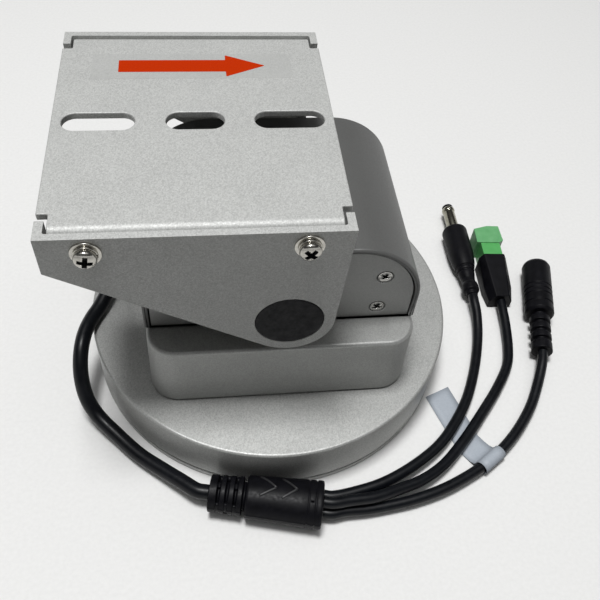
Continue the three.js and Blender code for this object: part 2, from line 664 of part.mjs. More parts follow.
// Tilt shaft turned in one with the near hub, toothed sector, and the far hub.
// The hubs carry the side plates.
function makeTiltShaft() {
  const down = -Math.PI / 2;
  const outline = gearOutline({
    module: TILT_MODULE, teeth: tiltTeeth, phase: down,
    from: down - TILT_SECTOR, to: down + TILT_SECTOR, rootR: TILT_GEAR_HUB_R,
  });
  const sector = join(
    prismY(outline, TILT_GEAR_Y, TILT_GEAR_Y + TILT_FACE),
    alongY(disc(TILT_GEAR_HUB_R, TILT_GEAR_Y - TILT_GEAR_BOSS, TILT_GEAR_Y + TILT_FACE, 2 * TINY)),
  );
  const bore = alongY(disc(SHAFT_R + SEAT, -ARCH_Y, ARCH_Y, 2 * TINY));
  piece('tilt_gear', geometryOf(cut(sector, bore)).translate(0, 0, tiltZ), steel);
  const end = plateInner - SEAM;
  const neckY = -capY - SEAT - BUSH_FLANGE_T - SEAM;
  const flangeR = BOSS_R - HUB_FLANGE_INSET;
  const hub = [
    [HUB_NECK_R, neckY], [HUB_NECK_R, -end + HUB_FLANGE_T], [flangeR, -end + HUB_FLANGE_T], [flangeR, -end],
  ];
  const shaft = alongY(turned([[0, end], [SHAFT_R, end], [SHAFT_R, neckY], ...hub, [0, -end]], 2 * TINY));
  piece('tilt_shaft', shaft.translate(0, 0, tiltZ), steel);
  const bored = SHAFT_R + SEAT;
  const farHub = alongY(turned([[bored, neckY], ...hub, [bored, -end]], 2 * TINY));
  piece('far_shaft_hub', farHub.rotateZ(Math.PI).translate(0, 0, tiltZ), silver);
}

// Side profile of the bracket plate in X and Z: straight top, slanted arm, round boss at the shaft
function plateOutline() {
  const rise = leftEdgeBottom - tiltZ;
  const touch = Math.atan2(rise, BRACKET_LEFT) + Math.acos(BOSS_R / Math.hypot(BRACKET_LEFT, rise));
  return [
    [BRACKET_LEFT, bracketTop], [BRACKET_LEFT, leftEdgeBottom],
    ...arc(0, tiltZ, BOSS_R, touch, 2 * Math.PI, 12),
    [BRACKET_RIGHT, bracketTop],
  ];
}

// Plan of a side plate with its return legs, for the near side
function plateFootprint() {
  const [l, r] = [BRACKET_LEFT - LAP, BRACKET_RIGHT + LAP];
  const [lIn, rIn] = [BRACKET_LEFT + LEG_T, BRACKET_RIGHT - LEG_T];
  const back = -plateY + LEG_DEPTH;
  return [
    [l, -plateY], [r, -plateY], [r, back], [rIn, back],
    ...arc(rIn - LEG_BEND, -plateInner + LEG_BEND, LEG_BEND, 0, -Math.PI / 2, 3),
    ...arc(lIn + LEG_BEND, -plateInner + LEG_BEND, LEG_BEND, -Math.PI / 2, -Math.PI, 3),
    [lIn, back], [l, back],
  ];
}

function makeSidePlate(side, word) {
  const below = tiltZ - BOSS_R - LAP;
  const legs = solid(prism(plateFootprint(), below, bracketTop + LAP));
  const profile = solid(prismY(plateOutline(), -plateY - LAP, -plateInner + LEG_DEPTH));
  const hole = (r, sides) => alongY(disc(r, -plateY - LAP, -plateY + LEG_DEPTH, sides));
  const screwHoles = screwX.map((x) => hole(SCREW_R + SEAT, SMALL).translate(x, 0, screwZ));
  const plugHole = hole(plugHoleR, ROUND).translate(0, 0, tiltZ);
  const hubRoom = box(
    BRACKET_LEFT + LEG_T, BRACKET_RIGHT + LAP, -plateInner, 0, below, tiltZ + HUB_ROOM,
  );
  const plate = geometryOf(cut(legs.intersect(profile), plugHole, hubRoom, ...screwHoles));
  if (side > 0) plate.scale(1, -1, 1);
  piece(`${word}_side_plate`, plate, silver);
}

// Platform: a shallow channel with ears at its ends, three slots and four screw holes
function makePlatform() {
  const outer = plateInner - PLATFORM_PLAY;
  const [x0, x1] = [BRACKET_LEFT + NOTCH_LEFT, BRACKET_RIGHT - NOTCH_RIGHT];
  const foot = bracketTop - PLATFORM_FLANGE;
  const bend = PLATFORM_T + PLATFORM_BEND_IN;
  const [centreY, centreZ] = [outer - bend, bracketTop - bend];
  const section = [
    [-outer, foot], [-outer + PLATFORM_T, foot],
    ...arc(-centreY, centreZ, PLATFORM_BEND_IN, Math.PI, Math.PI / 2, 2),
    ...arc(centreY, centreZ, PLATFORM_BEND_IN, Math.PI / 2, 0, 2),
    [outer - PLATFORM_T, foot], [outer, foot],
    ...arc(centreY, centreZ, bend, 0, Math.PI / 2, 5),
    ...arc(-centreY, centreZ, bend, Math.PI / 2, Math.PI, 5),
  ];
  const channel = prismY(section, x0, x1).rotateZ(-Math.PI / 2);
  const earX = (BRACKET_RIGHT - BRACKET_LEFT) / 2;
  const earY = plateY - LEG_DEPTH - EAR_GAP;
  const ears = prism(roundedRect(earX, earY, EAR_CORNER, 3), bracketTop - PLATFORM_T, bracketTop)
    .translate(bracketMid, 0, 0);
  const slotAt = (x, length) => prism(
    roundedRect(length / 2, SLOT_W / 2, SLOT_W / 2, 5), bracketTop - 2 * PLATFORM_T, bracketTop + LAP,
  ).translate(x, 0, 0);
  const slots = [
    slotAt(BRACKET_LEFT + SLOT_EDGE + SLOT_L / 2, SLOT_L),
    slotAt(bracketMid, SLOT_MID_L),
    slotAt(BRACKET_RIGHT - SLOT_EDGE - SLOT_L / 2, SLOT_L),
  ];
  const holes = screwX.flatMap((x) => [-1, 1].map((side) =>
    alongY(disc(SCREW_R + SEAT, -PLATFORM_T, PLATFORM_T, SMALL)).translate(x, side * outer, screwZ)));
  piece('platform', geometryOf(cut(join(channel, ears), ...slots, ...holes)), silver);
}

// Screw, spring washer and flat washer at each corner of the bracket, and the rubber plugs
function makeFasteners() {
  const washerY = -plateY - WASHER_T;
  const springY = washerY - SPRING_T;
  const headY = springY - SCREW_HEAD_H;
  const hole = SCREW_R + SEAT;
  for (const [side, word] of [[-1, 'near'], [1, 'far']]) {
    const facing = (geometry) => (side < 0 ? alongY(geometry) : alongY(geometry).rotateZ(Math.PI));
    screwX.forEach((x, i) => {
      const place = (geometry) => facing(geometry).translate(x, 0, screwZ);
      const tag = `${word}_${i === 0 ? 'left' : 'right'}`;
      piece(`${tag}_screw`, place(turned([
        [0, headY], [0.7 * SCREW_HEAD_R, headY], [SCREW_HEAD_R, headY + SCREW_HEAD_H / 2],
        [SCREW_HEAD_R, springY], [SCREW_R, springY], [SCREW_R, springY + SCREW_L], [0, springY + SCREW_L],
      ], SMALL)), steel);
      piece(`${tag}_spring_washer`, place(ring(hole, SPRING_R, springY, washerY, SMALL)), steel);
      piece(`${tag}_flat_washer`, place(ring(hole, WASHER_R, washerY, -plateY, SMALL)), steel);
    });
    const plugR = plugHoleR - SEAT;
    const cupR = plugR - PLUG_WALL;
    piece(`${word}_shaft_plug`, facing(turned([
      [0, -plateY - SEAM], [plugR - SEAM, -plateY - SEAM], [plugR, -plateY], [plugR, -plateInner],
      [cupR, -plateInner], [cupR, -plateY + PLUG_SKIN], [0, -plateY + PLUG_SKIN],
    ], 2 * TINY)).translate(0, 0, tiltZ), rubber);
  }
}

// Control board standing on the floor of the block, and the gland that the main cable comes out of
function makeElectrics() {
  const z0 = floorTop + SEAT;
  const chips = CHIP_Y.map((y) => box(
    boardX - SEAT, boardX + CHIP_T, y - CHIP_L / 2, y + CHIP_L / 2, z0 + CHIP_RISE, z0 + CHIP_RISE + CHIP_H,
  ));
  const sheet = box(boardX - BOARD_T, boardX, -BOARD_L / 2, BOARD_L / 2, z0, z0 + BOARD_H);
  piece('control_board', geometryOf(join(sheet, ...chips)), board);
  const face = BLOCK_X + SEAT;
  const inner = BLOCK_X - BLOCK_WALL - BLOCK_DRAFT - SEAT;
  const step = face + GLAND_FLANGE_T;
  const end = step + GLAND_BOOT_L;
  const bushing = alongMinusX(turned([
    [0, inner - GLAND_FLANGE_T], [GLAND_R, inner - GLAND_FLANGE_T], [GLAND_R, inner],
    [GLAND_NECK_R, inner], [GLAND_NECK_R, face], [GLAND_R, face], [GLAND_R, step],
    [GLAND_R - GLAND_STEP, step], [MAIN_R + GLAND_LIP, end], [0, end],
  ], SMALL));
  piece('cable_gland', bushing.translate(0, GLAND_Y, glandZ), rubber);
}

// Tube of a few sides along a route of [x, y, z] points
function cord(name, points, radius, sides, steps) {
  const through = points.map((p) => new THREE.Vector3(...p));
  const curve = new THREE.CatmullRomCurve3(through, false, 'centripetal');
  const section = new THREE.Shape(around(radius, sides).map(([x, y]) => new THREE.Vector2(x, y)));
  const tube = new THREE.ExtrudeGeometry(section, { steps, bevelEnabled: false, extrudePath: curve });
  piece(name, tube, cordBlack);
}

// Place something built along +X from a point on the floor, turned from +X
const layAlong = (geometry, [x, y], turn) => geometry.rotateZ(turn).translate(x, y, 0);

// Place something built along +Z from a point, lying along +Y turned towards +X
const layDown = (geometry, [x, y], turn, z) =>
  geometry.rotateX(-Math.PI / 2).rotateZ(-turn).translate(x, y, z);

// Moulded splitter: an oval body that swells from the cable to the tails, with a ribbed relief
function makeSplitter() {
  // Ring at s, its width and height worked out from the taper and drawn in by an inset
  const ringAt = (s, inset = 0) => {
    const [w, h] = [SPLITTER_W, SPLITTER_H].map(([a, b]) => a + (b - a) * s / SPLITTER_L);
    return around(1, SMALL)
      .map(([c, k]) => [s, c * (w / 2 - inset), h / 2 + k * (h / 2 - inset) + FLOOR_PLAY]);
  };
  const pitch = (RELIEF_L - RELIEF_LIP) / RELIEF_RIBS;
  const rings = [ringAt(0, RELIEF_STEP)];
  for (let i = 0; i < RELIEF_RIBS; i++) {
    const ribEnd = RELIEF_LIP + (i + RIB_SHARE) * pitch;
    const gapEnd = RELIEF_LIP + (i + 1) * pitch;
    const next = i + 1 < RELIEF_RIBS ? RELIEF_STEP : 0;
    rings.push(ringAt(ribEnd, RELIEF_STEP), ringAt(ribEnd + STEP, RELIEF_CUT));
    rings.push(ringAt(gapEnd, RELIEF_CUT), ringAt(gapEnd + STEP, next));
  }
  for (const at of RING_GROOVES) {
    const to = at + RING_GROOVE_W;
    rings.push(ringAt(at), ringAt(at + STEP, RING_GROOVE_DEPTH));
    rings.push(ringAt(to, RING_GROOVE_DEPTH), ringAt(to + STEP));
  }
  rings.push(ringAt(SPLITTER_L));
  piece('splitter', layAlong(loft(rings), SPLITTER_START, SPLITTER_TURN), cordBlack);
}

// Barrel plug: moulded grip and its metal barrel
function makePlug() {
  const z = PLUG_R + FLOOR_PLAY;
  const taperEnd = PLUG_NECK_L + PLUG_TAPER_L;
  const grip = turned([
    [0, 0], [PLUG_NECK_R, 0], [PLUG_NECK_R, PLUG_NECK_L],
    [0.86 * PLUG_R, PLUG_NECK_L + PLUG_TAPER_L / 2], [PLUG_R, taperEnd],
    [PLUG_R, PLUG_L - PLUG_EDGE], [PLUG_R - PLUG_EDGE, PLUG_L], [0, PLUG_L],
  ], SMALL);
  piece('plug_grip', layDown(grip, PLUG_AT, PLUG_TURN, z), cordBlack);
  const z0 = PLUG_L + SEAT;
  const tip = z0 + BARREL_L;
  const barrel = turned([
    [0, z0], [BARREL_R, z0], [BARREL_R, tip - BARREL_EDGE], [BARREL_R - BARREL_EDGE, tip],
    [BARREL_BORE, tip], [BARREL_BORE, z0 + BARREL_FLOOR], [0, z0 + BARREL_FLOOR],
  ], TINY);
  piece('plug_barrel', layDown(barrel, PLUG_AT, PLUG_TURN, z), steel);
}

// Plug-in terminal: black wedge-shaped hood and green block with a narrow neck
function makeTerminal() {
  const place = (geometry) => geometry.rotateZ(-TERMINAL_TURN).translate(...TERMINAL_AT, 0);
  // Ring at s, its top width and heights worked out from the hood's slope
  const ringAt = (s, w) => {
    const [top, h, wall] = [HOOD_TOP_W, HOOD_H, HOOD_WALL_H].map(([a, b]) => a + (b - a) * s / HOOD_L);
    return [[w / 2, 0], [w / 2, wall], [top / 2, h], [-top / 2, h], [-w / 2, wall], [-w / 2, 0]]
      .map(([x, z]) => [x, s, z + FLOOR_PLAY]);
  };
  const [tailW, fullW] = HOOD_W;
  const hood = loft([ringAt(0, tailW), ringAt(HOOD_CORNER_L, fullW), ringAt(HOOD_L, fullW)]);
  piece('terminal_hood', place(hood), cordBlack);
  const [n, w, c] = [TERMINAL_NECK_W / 2, TERMINAL_W / 2, TERMINAL_CUT];
  const [chamferW, chamferL] = TERMINAL_CHAMFER;
  const y0 = HOOD_L + SEAT;
  const shoulder = y0 + TERMINAL_NECK_L;
  const y1 = y0 + TERMINAL_L;
  const block = prism([
    [-n, y0], [n, y0], [n, shoulder], [w, shoulder + c], [w, y1],
    [-w + chamferW, y1], [-w, y1 - chamferL], [-w, shoulder], [-n, shoulder],
  ], FLOOR_PLAY, TERMINAL_H);
  piece('terminal_block', place(block), green);
}

// Socket on the third tail: ribbed relief, grooved grip, open bore and centre pin
function makeJack() {
  const rib = (JACK_RELIEF_L - JACK_LIP) / JACK_RIBS;
  const [w, d] = [JACK_GROOVE_W, JACK_GROOVE_DEPTH];
  const profile = [[0, 0], [JACK_RELIEF_R, 0]];
  for (let i = 0; i < JACK_RIBS; i++) {
    const [foot, top] = [JACK_LIP + i * rib, JACK_LIP + (i + RIB_SHARE) * rib];
    profile.push([JACK_RELIEF_R, foot], [JACK_RELIEF_R, top]);
    profile.push([JACK_RELIEF_R - JACK_RIB_DEPTH, top + 0.2 * rib]);
  }
  profile.push([JACK_R - JACK_EDGE, JACK_RELIEF_L], [JACK_R, JACK_RELIEF_L + JACK_EDGE]);
  for (const s of JACK_GROOVES) {
    profile.push([JACK_R, s], [JACK_R - d, s + w / 2], [JACK_R, s + w]);
  }
  const boreEnd = JACK_L - JACK_BORE_DEPTH;
  const pinEnd = JACK_L - JACK_PIN_DEPTH;
  profile.push([JACK_R, JACK_L - JACK_EDGE], [JACK_R - JACK_EDGE, JACK_L], [JACK_BORE, JACK_L]);
  profile.push([JACK_BORE, boreEnd], [JACK_PIN_R, boreEnd], [JACK_PIN_R, pinEnd], [0, pinEnd]);
  const grip = turned(profile, TINY);
  piece('socket_grip', layDown(grip, JACK_AT, JACK_TURN, JACK_R + FLOOR_PLAY), cordBlack);
}

// Paper label: a flat strip on the floor that folds up round the third tail
function makeLabel() {
  const along = new THREE.Vector2(LABEL_TO[0] - LABEL_FROM[0], LABEL_TO[1] - LABEL_FROM[1]);
  const flat = box(0, along.length(), -LABEL_W / 2, LABEL_W / 2, FLOOR_PLAY, FLOOR_PLAY + LABEL_T);
  const strip = layAlong(flat, LABEL_FROM, along.angle());
  const bore = TAIL_R + CORD_GAP;
  const tube = (r, l) => alongMinusX(disc(r, -l / 2, l / 2, TINY))
    .rotateZ(LABEL_SLEEVE_TURN)
    .translate(...LABEL_FROM, LABEL_LIFT);
  const folded = cut(join(strip, tube(bore + LABEL_T, LABEL_W)), tube(bore, 2 * LABEL_W));
  piece('cord_label', geometryOf(folded), paper);
}

// Routes of the cords, as they lie
const gland = BLOCK_X + SEAT + GLAND_FLANGE_T + GLAND_BOOT_L + CORD_GAP;
const mainRoute = [
  [-gland, GLAND_Y, glandZ], [-gland - 2.4, GLAND_Y, glandZ], [-53, 8, 25.4], [-54.9, 1.9, 23.2],
  [-57, -3, 22.3], [-59.3, -7.7, 22.1], [-60.9, -12.7, 22.1], [-61.8, -17.7, 21.4], [-62.3, -22.1, 19],
  [-62.2, -26.6, 14.9], [-60.9, -30.8, 9.9], [-58, -34.6, 5.9], [-51.8, -41, 3.8], [-44.8, -48.1, 3.3],
  [-37.5, -54.1, 4], [-31.6, -58.9, 5], [-27, -62.5, 5.7], [-23.6, -63.44, 5.8],
];
const tailARoute = [
  [11.3, -66.3, 3.9], [14, -66.85, 3.9], [23.5, -65.5, 3.9], [31.5, -63.3, 3.9], [41.9, -58.3, 3.7],
  [51.8, -51.5, 3.4], [58.8, -44, 3.1], [65, -35.4, 2.8], [70.2, -25.4, 2.6], [74.4, -14.9, 2.6],
  [76.8, -6.5, 3.2], [77.9, 0.6, 4.5], [78.05, 5.6, 5.4], [78.18, 8.1, 5.5],
];
const tailBRoute = [
  [10.6, -69.8, 7.3], [13.4, -70.35, 7.3], [18.6, -69.8, 6.9], [26.9, -69, 6.2], [35.1, -66.6, 5.2],
  [42.9, -63.9, 4.4], [51.2, -59, 3.5], [59.8, -51.1, 3], [69.3, -40.7, 2.7], [77.4, -31.2, 2.5],
  [83.8, -21.9, 2.4], [86.2, -15.1, 2.5], [88.1, -4.7, 3.1], [88.75, 1.9, 3.7], [89.08, 5.7, 3.9],
];
const tailCRoute = [
  [10.3, -71.6, 3.6], [13.1, -72.15, 3.6], [17.2, -71.6, 3.4], [24.2, -71.4, 2.9], [31.9, -70.6, 2.8],
  [39.7, -69.4, 2.9], [50, -66.6, 2.9], [61.5, -61.5, 2.7], [67.6, -57.9, 2.6], [74.5, -52.8, 2.6],
  [80.8, -46.8, 2.8], [87.4, -38.7, 3.2], [92.6, -29.7, 4.4], [95.6, -23.1, 5.8], [96.77, -19.49, 6.2],
];

function makeCords() {
  cord('main_cable', mainRoute, MAIN_R, CORD_SIDES, 24);
  cord('tail_to_plug', tailARoute, TAIL_R, CORD_SIDES, 18);
  cord('tail_to_terminal', tailBRoute, TAIL_R, CORD_SIDES, 18);
  cord('tail_to_socket', tailCRoute, TAIL_R, CORD_SIDES, 18);
}

makeBase();
makePanAxis();
makeTurntable();
makeBlock();
makeHousing();
makeEnd(-1, 'near');
makeEnd(1, 'far');
makeDrives();
makeTiltShaft();
makeSidePlate(-1, 'near');
makeSidePlate(1, 'far');
makePlatform();
makeFasteners();
makeElectrics();
makeSplitter();
makePlug();
makeTerminal();
makeJack();
makeLabel();
makeCords();

export default head;
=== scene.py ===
"""Looks of the motorised pan and tilt head: finishes, fine forms, cords, light and camera."""
import math

import bmesh
import bpy
from mathutils import Matrix, Vector


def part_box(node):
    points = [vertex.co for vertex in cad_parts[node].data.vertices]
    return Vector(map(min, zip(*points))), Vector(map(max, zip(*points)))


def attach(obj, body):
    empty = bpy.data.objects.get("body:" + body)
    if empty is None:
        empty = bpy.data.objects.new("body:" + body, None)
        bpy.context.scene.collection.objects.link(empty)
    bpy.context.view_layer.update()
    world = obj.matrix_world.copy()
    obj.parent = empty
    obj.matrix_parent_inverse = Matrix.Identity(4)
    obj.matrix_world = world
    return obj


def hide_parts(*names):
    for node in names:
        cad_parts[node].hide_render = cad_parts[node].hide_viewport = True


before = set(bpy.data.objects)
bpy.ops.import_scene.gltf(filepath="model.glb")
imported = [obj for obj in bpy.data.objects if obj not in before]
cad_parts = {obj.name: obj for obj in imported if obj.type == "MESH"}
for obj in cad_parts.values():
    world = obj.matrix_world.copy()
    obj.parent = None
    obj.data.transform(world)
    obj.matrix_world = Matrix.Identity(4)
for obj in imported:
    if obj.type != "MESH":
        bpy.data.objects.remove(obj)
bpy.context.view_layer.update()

# Lengths are in millimetres, in the frame of the CAD model, unless a comment says metres
MM = 0.001

# Bodies
BASE = "base"
HEAD = "pan_body"
BRACKET = "tilt_bracket"
SIDES = ((-1, "near"), (1, "far"))

# Material slots named more than once
SATIN = "satin_aluminium"
BLACK = "moulded_black"
PLATED = "nickel_steel"

# Camera: image size and focal length in pixels, place, heading, pitch, roll and clipping in metres
IMAGE_PX = 600
FOCAL_PX = 726.6
SENSOR = 36
CAMERA_AT = (-20.3, -156.4, 214.7)
CAMERA_HEADING = math.radians(11.07)
CAMERA_PITCH = math.radians(51.07)
CAMERA_ROLL = math.radians(-6.2)
CAMERA_CLIP_M = (0.01, 20)

# Segments of round pieces
FINE = 160
MID = 64
LOW = 32

# Cord routes
MAIN_D = 4.75
TAIL_D = 3.6
MAIN_ROUTE = [
    (-47.8, 12, 27.9), (-50.2, 12, 27.9), (-53, 8, 25.4), (-54.9, 1.9, 23.2),
    (-57, -3, 22.3), (-59.3, -7.7, 22.1), (-60.9, -12.7, 22.1), (-61.8, -17.7, 21.4), (-62.3, -22.1, 19),
    (-62.2, -26.6, 14.9), (-60.9, -30.8, 9.9), (-58, -34.6, 5.9), (-51.8, -41, 3.8), (-44.8, -48.1, 3.3),
    (-37.5, -54.1, 4), (-31.6, -58.9, 5), (-27, -62.5, 5.7), (-23.6, -63.44, 5.8),
]
PLUG_ROUTE = [
    (11.3, -66.3, 3.9), (14, -66.85, 3.9), (23.5, -65.5, 3.9), (31.5, -63.3, 3.9), (41.9, -58.3, 3.7),
    (51.8, -51.5, 3.4), (58.8, -44, 3.1), (65, -35.4, 2.8), (70.2, -25.4, 2.6), (74.4, -14.9, 2.6),
    (76.8, -6.5, 3.2), (77.9, 0.6, 4.5), (78.05, 5.6, 5.4), (78.18, 8.1, 5.5),
]
TERMINAL_ROUTE = [
    (10.6, -69.8, 7.3), (13.4, -70.35, 7.3), (18.6, -69.8, 6.9), (26.9, -69, 6.2), (35.1, -66.6, 5.2),
    (42.9, -63.9, 4.4), (51.2, -59, 3.5), (59.8, -51.1, 3), (69.3, -40.7, 2.7), (77.4, -31.2, 2.5),
    (83.8, -21.9, 2.4), (86.2, -15.1, 2.5), (88.1, -4.7, 3.1), (88.75, 1.9, 3.7), (89.08, 5.7, 3.9),
]
SOCKET_ROUTE = [
    (10.3, -71.6, 3.6), (13.1, -72.15, 3.6), (17.2, -71.6, 3.4), (24.2, -71.4, 2.9), (31.9, -70.6, 2.8),
    (39.7, -69.4, 2.9), (50, -66.6, 2.9), (61.5, -61.5, 2.7), (67.6, -57.9, 2.6), (74.5, -52.8, 2.6),
    (80.8, -46.8, 2.8), (87.4, -38.7, 3.2), (92.6, -29.7, 4.4), (95.6, -23.1, 5.8), (96.77, -19.49, 6.2),
]


# Sizes of the CAD nodes
def box(node):
    low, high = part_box(node)
    return low / MM, high / MM


def centre_of(node):
    low, high = box(node)
    return (low + high) / 2


def radius_of(node):
    low, high = box(node)
    return (high.x - low.x) / 2


def face_of(node, side):
    """Distance of a node's outer face along Y, on the near side (-1) or the far side (1)."""
    low, high = box(node)
    return high.y if side > 0 else -low.y


# Mesh building
def arc(cx, cy, radius, start, end, steps):
    """Points of an arc about (cx, cy)."""
    angles = [start + (end - start) * i / steps for i in range(steps + 1)]
    return [(cx + radius * math.cos(a), cy + radius * math.sin(a)) for a in angles]


def rounded_rect(hx, hy, radius, steps=10):
    quarter = math.pi / 2
    points = []
    for sx, sy, q in ((1, -1, -1), (1, 1, 0), (-1, 1, 1), (-1, -1, 2)):
        centre = sx * (hx - radius), sy * (hy - radius)
        points += arc(*centre, radius, q * quarter, (q + 1) * quarter, steps)
    return points


def soften(points, radius, steps=4, closed=True):
    """A polyline with its corners rounded, each as far as its two sides allow."""
    made = []
    count = len(points)
    for i, corner in enumerate(points):
        if not closed and i in (0, count - 1):
            made.append(corner)
            continue
        here = Vector(corner)
        back = Vector(points[i - 1]) - here
        ahead = Vector(points[(i + 1) % count]) - here
        bend = math.pi - back.angle(ahead)
        if bend < math.radians(8):
            made.append(corner)
            continue
        run = min(radius * math.tan(bend / 2), 0.48 * back.length, 0.48 * ahead.length)
        start = here + back.normalized() * run
        end = here + ahead.normalized() * run
        for k in range(steps + 1):
            t = k / steps
            made.append(tuple((1 - t) ** 2 * start + 2 * t * (1 - t) * here + t * t * end))
    return made


def revolve(profile, segments):
    """Revolve closed (radius, height) points about Z."""
    bm = bmesh.new()
    rows = []
    for radius, z in profile:
        if radius < 1e-6:
            rows.append([bm.verts.new((0, 0, z))] * segments)
            continue
        turns = [2 * math.pi * i / segments for i in range(segments)]
        rows.append([bm.verts.new((radius * math.cos(a), radius * math.sin(a), z)) for a in turns])
    join_rows(bm, rows, closed=True)
    return bm


def join_rows(bm, rows, closed):
    """Faces between neighbouring rows of equal length; single-point rows give fans."""
    count = len(rows[0])
    pairs = list(zip(rows, rows[1:]))
    if closed:
        pairs.append((rows[-1], rows[0]))
    for lower, upper in pairs:
        for i in range(count):
            j = (i + 1) % count
            corners = []
            for v in (lower[i], lower[j], upper[j], upper[i]):
                if v not in corners:
                    corners.append(v)
            if len(corners) > 2:
                bm.faces.new(corners)


def loft(rings, closed=False):
    """Body through rings of (x, y, z) points, closed on itself or capped at both ends."""
    bm = bmesh.new()
    rows = [[bm.verts.new(p) for p in ring] for ring in rings]
    join_rows(bm, rows, closed)
    if not closed:
        bm.faces.new(reversed(rows[0]))
        bm.faces.new(rows[-1])
    return bm


def prism(outline, z0, z1):
    return loft([[(x, y, z0) for x, y in outline], [(x, y, z1) for x, y in outline]])


def rod(radius, z0, z1, segments=MID):
    return revolve([(0, z0), (radius, z0), (radius, z1), (0, z1)], segments)


def turn(angle, axis):
    return Matrix.Rotation(angle, 4, axis)


ALONG_Y = turn(math.radians(-90), "X")
ALONG_MINUS_X = turn(math.radians(-90), "Y")
HALF_TURN = turn(math.pi, "Z")
UPRIGHT = turn(math.radians(90), "X")


def moved(bm, *steps):
    """Apply matrices to a bmesh, first one first."""
    for matrix in steps:
        bmesh.ops.transform(bm, matrix=matrix, verts=bm.verts)
    return bm


def shift(x, y, z):
    return Matrix.Translation((x, y, z))


def facing(side):
    """From a body built with its face towards -Z to one that faces -Y (side -1) or +Y (side 1)."""
    return [ALONG_Y] if side < 0 else [ALONG_Y, HALF_TURN]


def in_metres(steps):
    """A row of moves in millimetres as one matrix in metres."""
    matrix = Matrix.Identity(4)
    for step in steps:
        matrix = step @ matrix
    matrix.translation *= MM
    return matrix


def to_mesh(name, bm):
    bmesh.ops.remove_doubles(bm, verts=bm.verts, dist=1e-4)
    bmesh.ops.recalc_face_normals(bm, faces=bm.faces)
    bmesh.ops.scale(bm, vec=(MM, MM, MM), verts=bm.verts)
    mesh = bpy.data.meshes.new(name)
    bm.to_mesh(mesh)
    bm.free()
    mesh.shade_smooth()
    return mesh


def add_object(name, data):
    made = bpy.data.objects.new(name, data)
    bpy.context.scene.collection.objects.link(made)
    return made


def solid(name, bm):
    return add_object(name, to_mesh(name, bm))


def cut(target, *tools):
    """Cut bmeshes, given in millimetres, out of an object."""
    helpers = [solid("tool", tool) for tool in tools]
    for helper in helpers:
        modifier = target.modifiers.new("boolean", "BOOLEAN")
        modifier.operation = "DIFFERENCE"
        modifier.solver = "EXACT"
        modifier.object = helper
    graph = bpy.context.evaluated_depsgraph_get()
    mesh = bpy.data.meshes.new_from_object(target.evaluated_get(graph))
    target.modifiers.clear()
    whole = target.data
    target.data = mesh
    bpy.data.meshes.remove(whole)
    for helper in helpers:
        bpy.data.objects.remove(helper)


def dress(made, material, body, node=None, slot=None):
    """Give an object its material and body, and hide the CAD node that it stands for. The slot is not
    used.
    """
    made.data.materials.clear()
    made.data.materials.append(material)
    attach(made, body)
    if node:
        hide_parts(node)
    return made


def piece(name, bm, material, body, node=None, slot=None):
    return dress(solid(name, bm), material, body, node, slot)


def turned(node, profile, segments, place, material, body, slot):
    """A piece that stands for a turned node: a profile about Z, then laid in place."""
    shape = moved(revolve(profile, segments), *place)
    weigh(piece(f"{node}_form", shape, material, body, node, slot))


def finish_edges(made, width, segments=3, limit=28):
    """Round the hard edges of a cut piece and keep its flat faces flat in shading."""
    bevel = made.modifiers.new("edges", "BEVEL")
    bevel.width = width * MM
    bevel.segments = segments
    bevel.limit_method = "ANGLE"
    bevel.angle_limit = math.radians(limit)
    bevel.miter_outer = "MITER_ARC"
    weigh(made)


def weigh(made):
    """Shade large faces flat and let small ones curve."""
    normals = made.modifiers.new("normals", "WEIGHTED_NORMAL")
    normals.weight = 100
    normals.keep_sharp = True


# Materials
def blend(tree, share, a, b):
    """Mix of two colours, each input a socket or a value."""
    node = tree.nodes.new("ShaderNodeMix")
    node.data_type = "RGBA"
    for name, source in (("Factor", share), ("A", a), ("B", b)):
        if isinstance(source, bpy.types.NodeSocket):
            tree.links.new(source, node.inputs[name])
        else:
            node.inputs[name].default_value = source
    return node.outputs["Result"]


def ramp(tree, source, *stops):
    """Tones or colours along a source, given as (place, tone)."""
    node = tree.nodes.new("ShaderNodeValToRGB")
    elements = node.color_ramp.elements
    while len(elements) < len(stops):
        elements.new(1.0)
    for element, (place, tone) in zip(elements, stops):
        element.position = place
        element.color = (*tone, 1) if hasattr(tone, "__len__") else (tone, tone, tone, 1)
    tree.links.new(source, node.inputs["Fac"])
    return node.outputs["Color"]


